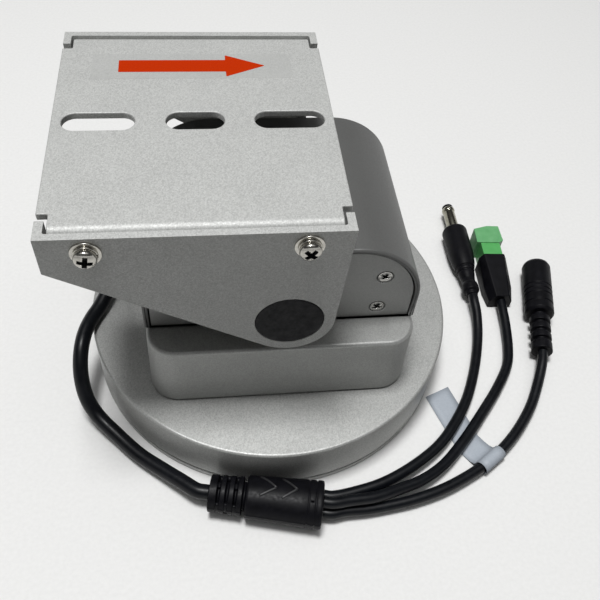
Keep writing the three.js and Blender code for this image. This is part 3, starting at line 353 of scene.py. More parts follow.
class Shader:
    """A node material with its Principled inputs and object coordinates at hand."""

    def __init__(self, name, colour, roughness, metallic=0.0):
        self.material = bpy.data.materials.new(name)
        self.material.use_nodes = True
        self.tree = self.material.node_tree
        self.inputs = self.tree.nodes["Principled BSDF"].inputs
        self.inputs["Base Color"].default_value = (*colour, 1)
        self.inputs["Roughness"].default_value = roughness
        self.inputs["Metallic"].default_value = metallic
        self.place = self.add("TexCoord").outputs["Object"]

    def add(self, kind, **values):
        node = self.tree.nodes.new(f"ShaderNode{kind}")
        for name, value in values.items():
            node.inputs[name].default_value = value
        return node

    def noise(self, size, detail, rough=0.5):
        """Noise whose features are about size millimetres wide."""
        node = self.add("TexNoise", Scale=1 / (size * MM), Detail=detail, Roughness=rough)
        self.tree.links.new(self.place, node.inputs["Vector"])
        return node.outputs["Fac"]

    def cells(self, size):
        """Random brightness of cells about size millimetres wide."""
        node = self.add("TexVoronoi", Scale=1 / (size * MM))
        self.tree.links.new(self.place, node.inputs["Vector"])
        return node.outputs["Color"]

    def ramp(self, source, low, high, start=0.3, end=0.7):
        """Map a texture between two values or colours."""
        return ramp(self.tree, source, (start, low), (end, high))

    def set(self, name, source):
        self.tree.links.new(source, self.inputs[name])

    def bump(self, *layers):
        """Layers of (texture, strength, height in millimetres)."""
        normal = None
        for source, strength, height in layers:
            node = self.add("Bump", Strength=strength, Distance=height * MM)
            self.tree.links.new(source, node.inputs["Height"])
            if normal is not None:
                self.tree.links.new(normal, node.inputs["Normal"])
            normal = node.outputs["Normal"]
        self.set("Normal", normal)


FLAKE_MM = 0.28


def blasted_aluminium(name, tone, flakes, metal, rough):
    """Silver finish of a blasted surface: a grain of fine flakes in a broad, even tone."""
    made = Shader(name, (tone, tone, tone), rough)

    def shade(share):
        return share * tone, 1.012 * share * tone, 0.985 * share * tone

    flake = made.cells(FLAKE_MM)
    even = made.ramp(made.noise(14, 3), shade(0.94), shade(1.06))
    grain = made.ramp(flake, shade(1 - flakes), shade(1 + flakes), 0.05, 0.95)
    made.set("Base Color", blend(made.tree, 0.5, even, grain))
    made.set("Metallic", made.ramp(flake, metal, metal + 0.4 * flakes, 0.55, 0.95))
    made.set("Roughness", made.ramp(made.noise(0.5, 2), rough, rough + 0.1))
    made.bump((made.noise(0.32, 3, 0.6), 0.9 * flakes, 0.05), (made.noise(5, 2), 0.05, 0.2))
    return made.material


def mottled(name, colour, tones, rough, ends, bumps, sockets):
    """Finish whose colour and roughness waver, each with a noise between two ends.

    A noise is (size, detail) or (size, detail, roughness), and a bump (noise, strength, height).
    """
    deep, pale = tones
    made = Shader(name, [(a + b) / 2 for a, b in zip(deep, pale)], sum(ends) / 2)
    for socket, value in sockets.items():
        made.inputs[socket].default_value = value
    made.set("Base Color", made.ramp(made.noise(*colour), deep, pale))
    if rough:
        made.set("Roughness", made.ramp(made.noise(*rough), *ends))
    if bumps:
        made.bump(*[(made.noise(*noise), strength, height) for noise, strength, height in bumps])
    return made.material


def bronze():
    made = Shader("bronze", (0.55, 0.36, 0.18), 0.38, 1.0)
    grain = 0.3
    made.set("Base Color", made.ramp(made.noise(0.9, 4), (0.48, 0.30, 0.14), (0.62, 0.42, 0.22)))
    made.set("Roughness", made.ramp(made.cells(grain), 0.3, 0.5, 0.1, 0.9))
    made.bump((made.cells(grain), 0.12, 0.05))
    return made.material


def shown_rays(tree):
    """1 for rays from the camera and for those that shiny or clear surfaces send on."""
    rays = tree.nodes.new("ShaderNodeLightPath").outputs
    found = rays["Is Camera Ray"]
    for kind in ("Is Glossy Ray", "Is Transmission Ray"):
        node = tree.nodes.new("ShaderNodeMath")
        node.operation = "MAXIMUM"
        tree.links.new(found, node.inputs[0])
        tree.links.new(rays[kind], node.inputs[1])
        found = node.outputs[0]
    return found


FLOOR_BOUNCE = 0.12


def floor_paint():
    """Pale to the camera and in reflections, and duller in the light that it throws back."""
    made = Shader("floor", (0.82, 0.82, 0.81), 0.75)
    pale = made.ramp(made.noise(1.2, 4), (0.81, 0.81, 0.80), (0.85, 0.85, 0.84))
    dimmed = (FLOOR_BOUNCE, FLOOR_BOUNCE, FLOOR_BOUNCE, 1)
    made.set("Base Color", blend(made.tree, shown_rays(made.tree), dimmed, pale))
    made.inputs["Specular IOR Level"].default_value = 0.1
    made.bump((made.noise(0.9, 3), 0.08, 0.1))
    return made.material


ALUMINIUM = blasted_aluminium("satin_aluminium", 0.49, 0.4, 0.23, 0.5)
TURNED = blasted_aluminium("turned_aluminium", 0.44, 0.4, 0.66, 0.48)
BLOCK = blasted_aluminium("block_aluminium", 0.36, 0.3, 0.6, 0.48)
HOUSING = blasted_aluminium("fine_aluminium", 0.13, 0.16, 0.3, 0.4)
CAPS = blasted_aluminium("cap_aluminium", 0.45, 0.16, 0.2, 0.45)
FILM = blasted_aluminium("clear_film", 0.462, 0.2, 0.2, 0.48)

METAL = {"Metallic": 1.0}
GLOW = {"Subsurface Weight": 0.08, "Subsurface Radius": (0.0006, 0.0015, 0.0006)}
# Nickel, and a darker copy of it for the end caps' flat screws
NICKEL, SCREW = [
    mottled(name, (0.8, 3), tones, (0.35, 4), (0.1, 0.26), [((0.6, 3), 0.06, 0.05)], METAL)
    for name, tones in (
        ("nickel", ((0.42, 0.405, 0.37), (0.56, 0.545, 0.50))),
        ("darker_nickel", ((0.34, 0.335, 0.32), (0.46, 0.45, 0.43))),
    )
]
MOULDED, EDGES = [
    mottled(name, (3, 3), ((0.002, 0.002, 0.003), (0.005, 0.005, 0.007)), (0.9, 4), (0.36, 0.54),
            [((0.35, 3), 0.16, 0.06), ((4, 2), 0.12, 0.2)], {"Specular IOR Level": specular})
    for name, specular in (("moulded_black", 0.14), ("moulded_edges", 0.9))
]
GREEN, GREEN_HAZE = [
    mottled(name, (2.5, 3), tones, (0.5, 3), (0.3, 0.44), [((0.3, 2), 0.08, 0.04)], GLOW)
    for name, tones in (
        ("green_plastic", ((0.09, 0.39, 0.11), (0.11, 0.44, 0.13))),
        ("green_haze", ((0.13, 0.39, 0.16), (0.17, 0.45, 0.20))),
    )
]
# Rough, dark metal for the screws' cross recesses: its darkness is painted shade of the deep recess
RECESS_SHADE = mottled("recess_shade_metal", (0.3, 3), ((0.03, 0.03, 0.03), (0.08, 0.08, 0.078)),
                 (0.4, 2), (0.4, 0.6), [], METAL)
STEEL = mottled("machined_steel", (1.2, 3), ((0.46, 0.46, 0.455), (0.58, 0.58, 0.575)),
                (0.3, 3), (0.22, 0.4), [((0.25, 2), 0.1, 0.04)], METAL)
BARREL = mottled("barrel_metal", (0.9, 3), ((0.29, 0.28, 0.23), (0.40, 0.39, 0.32)),
                 (0.4, 3), (0.08, 0.2), [], METAL)
BRONZE = bronze()
RUBBER = mottled("black_rubber", (1.6, 5, 0.65), ((0.012, 0.012, 0.013), (0.034, 0.034, 0.036)),
                 (2.2, 4), (0.52, 0.74), [((0.5, 4), 0.3, 0.1)], {"Specular IOR Level": 0.16})
JACKET = mottled("cord_jacket", (4, 3), ((0.002, 0.0025, 0.004), (0.005, 0.006, 0.008)),
                 (1.2, 3), (0.28, 0.42), [((0.4, 3), 0.08, 0.05), ((6, 2), 0.1, 0.2)],
                 {"Specular IOR Level": 0.26})
NYLON = mottled("nylon", (2, 3), ((0.57, 0.55, 0.49), (0.67, 0.65, 0.59)),
                None, (0.5, 0.5), [((0.4, 3), 0.1, 0.05)], {})
BOARD = mottled("circuit_board", (1.4, 2), ((0.015, 0.08, 0.03), (0.03, 0.14, 0.06)),
                (0.6, 2), (0.28, 0.45), [], {})
PAPER = mottled("label_paper", (0.5, 5, 0.7), ((0.37, 0.41, 0.46), (0.43, 0.47, 0.52)),
                (1.5, 3), (0.45, 0.65), [((0.3, 4), 0.1, 0.04)], {})
INK = mottled("arrow_ink", (0.4, 4), ((0.43, 0.022, 0.0005), (0.49, 0.032, 0.002)),
              (0.5, 3), (0.42, 0.58), [((0.42, 3, 0.6), 0.15, 0.05)], {"Specular IOR Level": 0.03})


# Camera
def make_camera():
    data = bpy.data.cameras.new("camera")
    data.sensor_width = SENSOR
    data.lens = FOCAL_PX / IMAGE_PX * SENSOR
    data.clip_start, data.clip_end = CAMERA_CLIP_M
    camera = add_object("camera", data)
    aim = turn(-CAMERA_HEADING, "Z") @ turn(math.pi / 2 - CAMERA_PITCH, "X") @ turn(-CAMERA_ROLL, "Z")
    camera.matrix_world = shift(*(Vector(CAMERA_AT) * MM)) @ aim
    bpy.context.scene.camera = camera


# Light and floor, with these lengths in metres
LAMP_AT = Vector((-0.1, -0.02, 1.1))
LAMP_SIZE = 0.24
LAMP_WATTS = 9.2
FLOOR_HALF = 2.5
# Brightness by the sine of a direction's height above the horizon: a broad soft ceiling, and at the
# horizon a wall that is pale only behind the object and in reflections
CEILING = [(0.34, 0.04), (0.6, 0.06), (0.78, 0.13), (0.9, 0.7), (1.0, 1.0)]
DARK_WALL = [(0.0, 0.02)]
PALE_WALL = [(0.0, 0.7), (0.27, 0.7)]


def make_world():
    world = bpy.data.worlds.new("studio")
    bpy.context.scene.world = world
    world.use_nodes = True
    tree = world.node_tree
    place = tree.nodes.new("ShaderNodeTexCoord")
    split = tree.nodes.new("ShaderNodeSeparateXYZ")
    tree.links.new(place.outputs["Generated"], split.inputs["Vector"])
    skies = [ramp(tree, split.outputs["Z"], *wall, *CEILING) for wall in (DARK_WALL, PALE_WALL)]
    tree.links.new(blend(tree, shown_rays(tree), *skies), tree.nodes["Background"].inputs["Color"])


def make_lamp():
    data = bpy.data.lights.new("overhead", "AREA")
    data.shape = "SQUARE"
    data.size = LAMP_SIZE
    data.energy = LAMP_WATTS
    lamp = add_object("overhead", data)
    lamp.location = LAMP_AT
    lamp.rotation_euler = (-LAMP_AT).to_track_quat("-Z", "Y").to_euler()


def make_floor():
    bm = bmesh.new()
    bmesh.ops.create_grid(bm, x_segments=8, y_segments=8, size=FLOOR_HALF)
    mesh = bpy.data.meshes.new("floor")
    bm.to_mesh(mesh)
    bm.free()
    mesh.materials.append(floor_paint())
    add_object("floor", mesh)


bpy.context.scene.view_settings.view_transform = "Standard"
make_camera()
make_world()
make_lamp()
make_floor()


# Cords
def smooth_route(points, steps=12):
    """Centripetal curve through the points, as closely spaced points."""
    points = [Vector(p) for p in points]
    padded = [2 * points[0] - points[1], *points, 2 * points[-1] - points[-2]]
    made = [points[0]]
    for p0, p1, p2, p3 in zip(padded, padded[1:], padded[2:], padded[3:]):
        t0 = (p1 - p0).length ** 0.5
        t1 = (p2 - p1).length ** 0.5
        t2 = (p3 - p2).length ** 0.5
        start = ((p1 - p0) / t0 - (p2 - p0) / (t0 + t1) + (p2 - p1) / t1) * t1
        end = ((p2 - p1) / t1 - (p3 - p1) / (t1 + t2) + (p3 - p2) / t2) * t1
        for k in range(1, steps + 1):
            t = k / steps
            made.append(
                (2 * t**3 - 3 * t**2 + 1) * p1 + (t**3 - 2 * t**2 + t) * start
                + (3 * t**2 - 2 * t**3) * p2 + (t**3 - t**2) * end
            )
    return made


def make_cord(node, route, diameter, far_end, with_pieces):
    points = smooth_route(route)
    data = bpy.data.curves.new(f"{node}_form", "CURVE")
    data.dimensions = "3D"
    data.bevel_depth = diameter / 2 * MM
    data.bevel_resolution = 6
    data.use_fill_caps = True
    spline = data.splines.new("POLY")
    spline.points.add(len(points) - 1)
    for slot, point in zip(spline.points, points):
        slot.co = (*(point * MM), 1)
    spline.use_smooth = True
    cord = dress(add_object(f"{node}_form", data), JACKET, HEAD, node, "cord_jacket")
    length = sum((b - a).length for a, b in zip(points, points[1:]))


# Base
BASE_WALL = 2.5
BASE_TOP_T = 2.4
BASE_RIM_W = 26
PLATE_HOLE_R = 5.4


def make_base():
    low, high = box("base_cover")
    mouth, inner, under = high.x - BASE_RIM_W, high.x - BASE_WALL, high.z - BASE_TOP_T
    cover = soften([
        (mouth, under), (inner, under), (inner, low.z), (high.x, low.z), (high.x, high.z), (mouth, high.z),
    ], 0.9, 5)
    turned("base_cover", cover, FINE, [], TURNED, BASE, SATIN)
    low, high = box("base_plate")
    plate = soften([
        (PLATE_HOLE_R, low.z), (high.x, low.z), (high.x, high.z), (PLATE_HOLE_R, high.z),
    ], 0.4)
    turned("base_plate", plate, FINE, [], TURNED, BASE, SATIN)


# Turning block, drafted and soft at its top edge
BLOCK_DRAFT = 0.6
BLOCK_CORNER = 9
BLOCK_EDGE = 1.1
BLOCK_LIP = 0.35
BLOCK_WALL = 2.5
BLOCK_MOUTH_Y = 24
BLOCK_SHELF_X = 6
CABLE_HOLE_R = 3.9


def make_block():
    low, high = box("turning_block")
    inside = high.x - BLOCK_SHELF_X

    def ring(z, inset):
        by = BLOCK_DRAFT * (z - low.z) / (high.z - low.z) + inset
        return [(x, y, z) for x, y in rounded_rect(high.x - by, high.y - by, BLOCK_CORNER - by)]

    def mouth(z):
        return [(x, y, z) for x, y in rounded_rect(inside, BLOCK_MOUTH_Y, 1)]

    rings = [ring(low.z, BLOCK_WALL), ring(low.z, BLOCK_LIP), ring(low.z + BLOCK_LIP, 0)]
    rings += [ring(low.z + (high.z - BLOCK_EDGE - low.z) * k / 6, 0) for k in range(1, 7)]
    for k in range(1, 6):
        a = math.pi / 2 * k / 5
        rings.append(ring(high.z - BLOCK_EDGE * (1 - math.sin(a)), BLOCK_EDGE * (1 - math.cos(a))))
    rings += [mouth(high.z), mouth(high.z - BLOCK_WALL), ring(high.z - BLOCK_WALL, BLOCK_WALL)]
    block = solid("turning_block_form", loft(rings, closed=True))
    gland = centre_of("cable_gland")
    cut(block, moved(rod(CABLE_HOLE_R, inside, high.x + 2), ALONG_MINUS_X, shift(0, gland.y, gland.z)))
    weigh(dress(block, BLOCK, HEAD, "turning_block", SATIN))


# Upper housing: an arched tunnel with rounded rims
ARCH_CORNER = 21
ARCH_WALL = 1.6
ARCH_EDGE = 0.85
RIM_GROOVE = 0.28
RIM_LIP = 0.12
RIM_DEPTH = 3


def arch_outline(inset, bottom, top, half, steps=24):
    radius = ARCH_CORNER - inset
    hx, crown = half - inset, top - inset
    return [
        (-hx, bottom), (hx, bottom),
        *arc(hx - radius, crown - radius, radius, 0, math.pi / 2, steps),
        *arc(-hx + radius, crown - radius, radius, math.pi / 2, math.pi, steps),
    ]


def make_housing():
    low, high = box("upper_housing")

    def ring(y, inset):
        return [(x, y, z) for x, z in arch_outline(inset, low.z, high.z, high.x)]

    step = high.y - RIM_LIP
    groove = ARCH_EDGE + RIM_GROOVE
    half = [
        (high.y - RIM_DEPTH, ARCH_WALL), (step - 0.1, ARCH_WALL), (step, ARCH_WALL - 0.1),
        (step, groove), (step - RIM_GROOVE, ARCH_EDGE + RIM_GROOVE / 2), (high.y, ARCH_EDGE),
    ]
    for k in range(1, 7):
        a = math.pi / 2 * k / 6
        half.append((high.y - ARCH_EDGE * (1 - math.cos(a)), ARCH_EDGE * (1 - math.sin(a))))
    rows = [ring(-y, inset) for y, inset in half]
    rows += [ring(high.y * k / 5, 0) for k in (-3, -1, 1, 3)]
    rows += [ring(y, inset) for y, inset in reversed(half)]
    weigh(piece("upper_housing_form", loft(rows, closed=True), HOUSING, HEAD, "upper_housing", SATIN))


# End caps
TILT_Z = centre_of("tilt_shaft").z
CAP_GAP = 0.36
CAP_BUSH_R = 6.6
CAP_SEAT = 0.1
COUNTERSINK_R = 2.52


def on_axis(side):
    """Moves that lay a turned body on the tilt axis."""
    return [*facing(side), shift(0, 0, TILT_Z)]


def beside(side, at):
    """Moves that lay a turned body at a place of its own."""
    return [*facing(side), shift(at.x, 0, at.z)]


def make_end(side, word):
    node = f"{word}_end_cap"
    low, high = box(node)
    crown = box("upper_housing")[1]
    face = face_of(node, side)
    seat = box("turning_block")[1].z + CAP_SEAT
    outline = arch_outline(ARCH_WALL + CAP_GAP, seat, crown.z, crown.x)
    cap = solid(f"{node}_form", moved(prism(outline, -high.y, -low.y), UPRIGHT))
    screws = [f"{word}_cap_screw_{i}" for i in range(1, 5)]
    cutters = [moved(rod(CAP_BUSH_R, -face - 1, -10), *on_axis(side))]
    for screw in screws:
        sink = revolve([
            (0, -face - 1), (COUNTERSINK_R, -face - 1), (COUNTERSINK_R, -face + 0.25), (1.5, -face + 1.5),
            (1.5, -face + 6), (0, -face + 6),
        ], LOW)
        cutters.append(moved(sink, *beside(side, centre_of(screw))))
    cut(cap, *cutters)
    dress(cap, CAPS, HEAD, node, SATIN)
    finish_edges(cap, 0.15, 2)
    for screw in screws:
        make_flat_screw(screw, side, 0.12 - face)


# Cross-head screws, each cross by the length of an arm, half its width, and its depth
# Painted shade in a cross recess runs from this far under the crown down to this depth
RECESS_SKIN = 0.12
RECESS_END = 2.8
FLAT_CROSS = (1.15, 0.34, 1.8)
FLAT_HEAD_R = 2.1


def cross_recess(arm, width, depth, top):
    """Cutter for a cross recess below the height top, towards +Z."""
    def plus(r, w, z):
        points = []
        for c, s in ((1, 0), (0, 1), (-1, 0), (0, -1)):
            points += [(x * c - y * s, x * s + y * c, z) for x, y in ((r, -w), (r, w), (w, w))]
        return points
    return loft([
        plus(arm * 1.15, width * 1.1, top - 0.3), plus(arm, width, top + 0.05),
        plus(arm * 0.82, width * 0.9, top + depth * 0.6), plus(arm * 0.45, width * 0.8, top + depth),
    ])


def make_screw(node, side, profile, segments, recess, angle, crown, finish):
    """A turned screw whose cross recess is rough and painted dark as shade, by how far the recess reaches
    and the crown's height at a distance.
    """
    screw = solid(f"{node}_form", revolve(profile, segments))
    cut(screw, moved(recess, turn(angle, "Z")))
    reach, height = crown
    dimmed = []
    # Faces inside the cross recess get the dark recess metal: painted shade
    for face in screw.data.polygons:
        x, y, z = face.center / MM
        away = math.hypot(x, y)
        if away < reach and height(away) + RECESS_SKIN < z < height(0) + RECESS_END:
            dimmed.append(face.index)
    screw.data.transform(in_metres(beside(side, centre_of(node))))
    dress(screw, *finish, node, PLATED)
    screw.data.materials.append(RECESS_SHADE)
    for index in dimmed:
        screw.data.polygons[index].material_index = 1
    weigh(screw)


def make_flat_screw(node, side, top):
    r, end = FLAT_HEAD_R, top + 7.5
    profile = soften([
        (0, top), (r, top), (r, top + 0.25), (1.25, top + 1.3), (1.25, end), (0, end),
    ], 0.14, 3, closed=False)
    recess = cross_recess(*FLAT_CROSS, top)
    make_screw(node, side, profile, LOW, recess, 0.6, (1.2, lambda away: top), (SCREW, HEAD))


PAN_CROSS = (1.8, 0.56, 2.6)
PAN_HEAD_H = 2
PAN_DOME = 1.15
WASHER_HOLE_R = 1.6
WASHER_T = 0.6
SPRING_HOLE_R = 1.65
SPRING_GAP = math.radians(9)
SPRING_RISE = 0.18
PAN_TURNS = {"near_left": 0.2, "near_right": 0.75, "far_left": 0.5, "far_right": 1.1}


def make_pan_screw(side, tag):
    node = f"{tag}_screw"
    radius = radius_of(node)
    top = -face_of(node, side)
    seat = top + PAN_HEAD_H
    profile = [(0, top)]
    for k in range(1, 9):
        a = math.pi / 2 * k / 8
        profile.append((radius * math.sin(a), top + PAN_DOME * (1 - math.cos(a))))
    profile += [(radius, seat - 0.1), (radius - 0.1, seat), (1.5, seat), (1.5, top + 8), (0, top + 8)]

    def height(away):
        return top + PAN_DOME * (1 - math.sqrt(1 - (away / radius) ** 2))

    recess = cross_recess(*PAN_CROSS, top)
    make_screw(node, side, profile, MID, recess, PAN_TURNS[tag], (1.95, height), (NICKEL, BRACKET))
    place = beside(side, centre_of(node))
    washer = f"{tag}_flat_washer"
    outer, near = radius_of(washer), -face_of(washer, side)
    back = near + WASHER_T
    flat = soften([(WASHER_HOLE_R, near), (outer, near), (outer, back), (WASHER_HOLE_R, back)], 0.14, 2)
    turned(washer, flat, MID, place, NICKEL, BRACKET, PLATED)
    make_spring_washer(f"{tag}_spring_washer", place, seat, near)


def make_spring_washer(node, place, y0, y1):
    """Split ring of square wire whose two ends stand a little apart."""
    inner, outer = SPRING_HOLE_R, radius_of(node)
    half = (y1 - y0) / 2 - 0.1
    rings = []
    steps = 60
    for k in range(steps + 1):
        a = SPRING_GAP + (2 * math.pi - 2 * SPRING_GAP) * k / steps
        mid = (y0 + y1) / 2 + (k / steps - 0.5) * SPRING_RISE
        low, high = mid - half, mid + half
        section = soften([(inner, low), (outer, low), (outer, high), (inner, high)], 0.12, 2)
        rings.append([(r * math.cos(a), r * math.sin(a), z) for r, z in section])
    weigh(piece(f"{node}_form", moved(loft(rings), *place), NICKEL, BRACKET, node, PLATED))


# Tilt shaft, hubs and bushes
SHAFT_R = 4
HUB_NECK_R = 7.5
HUB_NECK_AT = -29.2
HUB_FLANGE_T = 3


def make_shaft():
    low, high = box("tilt_shaft")
    end = -low.y
    back = HUB_FLANGE_T - end
    hub = [(HUB_NECK_R, HUB_NECK_AT), (HUB_NECK_R, back), (high.x, back), (high.x, -end)]
    shaft = soften([
        (0, end), (SHAFT_R, end), (SHAFT_R, HUB_NECK_AT), *hub, (0, -end),
    ], 0.4, 3, closed=False)
    turned("tilt_shaft", shaft, MID, on_axis(-1), STEEL, BRACKET, "machined_steel")
    bore = SHAFT_R + 0.1
    far_hub = soften([(bore, HUB_NECK_AT), *hub, (bore, -end)], 0.4, 3)
    turned("far_shaft_hub", far_hub, MID, on_axis(1), ALUMINIUM, BRACKET, SATIN)
    for side, word in SIDES:
        node = f"{word}_shaft_bush"
        z, radius = -face_of(node, side), radius_of(node)
        bush = soften([
            (4.12, z), (radius, z), (radius, z + 0.8), (6.5, z + 0.8), (6.5, -24), (4.12, -24),
        ], 0.2, 2)
        turned(node, bush, MID, on_axis(side), BRONZE, HEAD, "bronze")


# Tilting bracket
LEG_T = 2.1
LEG_BEND = 0.6
PLATE_T = 2
BOSS_R = 12.3
PLUG_HOLE_R = 9.3
LEFT_EDGE_H = 11.25
SCREW_HOLE_R = 1.6
HUB_ROOM = 3


def make_side_plate(side, word):
    node = f"{word}_side_plate"
    low, high = box(node)
    face = face_of(node, side)
    depth = high.y - low.y
    rise = high.z - LEFT_EDGE_H - TILT_Z
    touch = math.atan2(rise, low.x) + math.acos(BOSS_R / math.hypot(low.x, rise))
    outline = [
        (low.x, high.z), (low.x, high.z - LEFT_EDGE_H),
        *arc(0, TILT_Z, BOSS_R, touch, 2 * math.pi, 48), (high.x, high.z),
    ]
    plate = solid(f"{node}_form", moved(prism(outline, face - depth, face), UPRIGHT))
    inner = face - PLATE_T
    left, right = low.x + LEG_T, high.x - LEG_T
    below = TILT_Z - BOSS_R - 1
    behind = -face + depth + 1
    bend = LEG_BEND
    pocket = [
        (left, behind), *arc(left + bend, bend - inner, bend, math.pi, 1.5 * math.pi, 4),
        *arc(right - bend, bend - inner, bend, -math.pi / 2, 0, 4), (right, behind),
    ]
    room = prism([
        (left + 1, -inner), (high.x + 1, -inner), (high.x + 1, behind), (left + 1, behind),
    ], below, TILT_Z + HUB_ROOM)
    hole = -face - 1, 1 - inner
    tools = [prism(pocket, below, high.z + 1), room]
    tools.append(moved(rod(PLUG_HOLE_R, *hole, FINE), *on_axis(-1)))
    for end in ("left", "right"):
        at = centre_of(f"near_{end}_screw")
        tools.append(moved(rod(SCREW_HOLE_R, *hole, LOW), *beside(-1, at)))
    cut(plate, *tools)
    if side > 0:
        plate.data.transform(Matrix.Scale(-1, 4, (0, 1, 0)))
        plate.data.flip_normals()
    dress(plate, ALUMINIUM, BRACKET, node, SATIN)
    finish_edges(plate, 0.3)


PLATFORM_T = 2
PLATFORM_BEND_IN = 0.4
NOTCH_LEFT = 2.8
NOTCH_RIGHT = 2.6
EAR_Y = 33.3
SLOT_W = 7
SLOT_L = 18.6
SLOT_MID_L = 15.3
SLOT_EDGE = 2.6


def make_platform():
    low, high = box("platform")
    bend = PLATFORM_T + PLATFORM_BEND_IN
    cy, cz = high.y - bend, high.z - bend
    quarter = math.pi / 2
    section = [
        (-high.y, low.z), (-high.y + PLATFORM_T, low.z),
        *arc(-cy, cz, PLATFORM_BEND_IN, math.pi, quarter, 6),
        *arc(cy, cz, PLATFORM_BEND_IN, quarter, 0, 6),
        (high.y - PLATFORM_T, low.z), (high.y, low.z),
        *arc(cy, cz, bend, 0, quarter, 12), *arc(-cy, cz, bend, quarter, math.pi, 12),
    ]
    rings = [[(x, y, z) for y, z in section] for x in (low.x, high.x)]
    platform = solid("platform_form", loft(rings))
    tools = []
    for x0, x1 in ((low.x - 1, low.x + NOTCH_LEFT), (high.x - NOTCH_RIGHT, high.x + 1)):
        for y0, y1 in ((-high.y - 1, -EAR_Y), (EAR_Y, high.y + 1)):
            tools.append(prism([(x0, y0), (x1, y0), (x1, y1), (x0, y1)], low.z - 1, high.z + 1))
    inset = SLOT_EDGE + SLOT_L / 2
    slots = [(low.x + inset, SLOT_L), ((low.x + high.x) / 2, SLOT_MID_L), (high.x - inset, SLOT_L)]
    for x, length in slots:
        outline = rounded_rect(length / 2, SLOT_W / 2, SLOT_W / 2 - 0.01, 14)
        tools.append(moved(prism(outline, high.z - 5, high.z + 1), shift(x, 0, 0)))
    for end in ("left", "right"):
        at = centre_of(f"near_{end}_screw")
        for y in (-high.y, high.y):
            tools.append(moved(rod(SCREW_HOLE_R, -3, 3, LOW), ALONG_Y, shift(at.x, y, at.z)))
    cut(platform, *tools)
    dress(platform, ALUMINIUM, BRACKET, "platform", SATIN)
    finish_edges(platform, 0.35)
    make_arrow(high.z)


ARROW_TAIL_X = -43.2
ARROW_NECK_X = -13.6
ARROW_TIP_X = -2.4
ARROW_Y = 24.3
ARROW_SHAFT_W = 5.6
ARROW_HEAD_W = 10.3
INK_T = 0.05
FILM_L = 55.4
FILM_X = -22.8
FILM_W = 11.8
FILM_T = 0.02


def make_arrow(top):
    s, h = ARROW_SHAFT_W / 2, ARROW_HEAD_W / 2
    outline = [
        (ARROW_TAIL_X, -s), (ARROW_NECK_X, -s), (ARROW_NECK_X, -h), (ARROW_TIP_X, 0),
        (ARROW_NECK_X, h), (ARROW_NECK_X, s), (ARROW_TAIL_X, s),
    ]
    arrow = moved(prism(soften(outline, 0.25, 3), top - INK_T, top + INK_T), shift(0, ARROW_Y, 0))
    piece("direction_arrow", arrow, INK, BRACKET).data.shade_flat()
    sheet = prism(rounded_rect(FILM_L / 2, FILM_W / 2, 1, 5), top - INK_T, top + FILM_T)
    piece("arrow_film", moved(sheet, shift(FILM_X, ARROW_Y, 0)), FILM, BRACKET).data.shade_flat()


# Bracket fasteners and the rubber caps over the shaft
def make_fasteners():
    for side, word in SIDES:
        for end in ("left", "right"):
            make_pan_screw(side, f"{word}_{end}")
        node = f"{word}_shaft_plug"
        radius, z = radius_of(node), -face_of(node, side)
        profile = [
            (0, z), (radius * 0.6, z), (radius - 0.5, z + 0.06), (radius, z + 0.4), (radius, z + 2.3),
            (radius - 1.2, z + 2.3), (radius - 1.2, z + 1.3), (0, z + 1.3),
        ]
        turned(node, profile, FINE, on_axis(side), RUBBER, BRACKET, "black_rubber")


# Gland that the main cable comes out of, by its distance from the head's axis
GLAND_IN = 36.9
GLAND_OUT = 40.1


def make_gland():
    low, high = box("cable_gland")
    at = (low + high) / 2
    r = (high.z - low.z) / 2
    z = GLAND_OUT
    profile = soften([
        (0, GLAND_IN - 1.4), (r, GLAND_IN - 1.4), (r, GLAND_IN), (3.8, GLAND_IN), (3.8, z), (r, z),
        (r, z + 1.4), (r - 1, z + 1.4), (3.4, z + 3), (3.35, z + 3.6), (3.1, z + 4.4), (3.05, z + 5),
        (MAIN_D / 2 + 0.5, z + 7.4), (0, z + 7.4),
    ], 0.35, 3, closed=False)
    place = [ALONG_MINUS_X, shift(0, at.y, at.z)]
    turned("cable_gland", profile, MID, place, RUBBER, HEAD, "black_rubber")


# Moulded splitter
SPLITTER_START = (-23.3, -63.5)
SPLITTER_TURN = math.radians(-11.5)
SPLITTER_ROLL = math.radians(-13)
SPLITTER_L = 34.2
SPLITTER_W = (12.2, 15)
SPLITTER_H = (11.4, 12.2)
RELIEF_L = 11.1
RELIEF_LIP = 0.9
RELIEF_RIBS = 4
RELIEF_STEP = 0.5
RELIEF_CUT = 2.1
RIB_SHARE = 0.58
RIB_EDGE = 0.22
RIB_ROUND = 0.07
RING_GROOVES = (29.5, 31.7)
PIN_HOLE_AT = 30.95
PIN_HOLE_R = 0.34
PARTING_H = 0.13
FLOOR_PLAY = 0.1
# Webs in each gap of the relief: angle about the axis and half width, in degrees
RELIEF_WEBS = [
    [(83, 8), (166, 22), (350, 20), (255, 14)],
    [(38, 10), (160, 18), (215, 14), (320, 14)],
    [(83, 8), (166, 22), (350, 20), (255, 14)],
]
# Raised marks on top: places along the axis and angles about it, in degrees
CHEVRONS = [
    [(14.8, 42), (19.9, 79), (15.1, 104)],
    [(21.4, 46), (26.1, 78), (21.7, 104.5)],
]


def splitter_size(s):
    share = s / SPLITTER_L
    return [a + (b - a) * share for a, b in (SPLITTER_W, SPLITTER_H)]


def splitter_point(s, angle, inset=0.0):
    """Point on the oval body at an angle about its axis, drawn in by an inset."""
    w, h = splitter_size(s)
    y = (w / 2 - inset) * math.cos(angle)
    z = h / 2 + (h / 2 - inset) * math.sin(angle)
    return Vector((s, y, z + FLOOR_PLAY))


def splitter_ring(s, inset=0.0, steps=30):
    """Oval ring with a fine parting line on either side."""
    points = []
    for half in (0, 1):
        start = SPLITTER_ROLL + half * math.pi
        points.append(splitter_point(s, start, inset - PARTING_H))
        points += [splitter_point(s, start + math.radians(1.6 + 176.8 * k / steps), inset)
                   for k in range(steps + 1)]
    return points


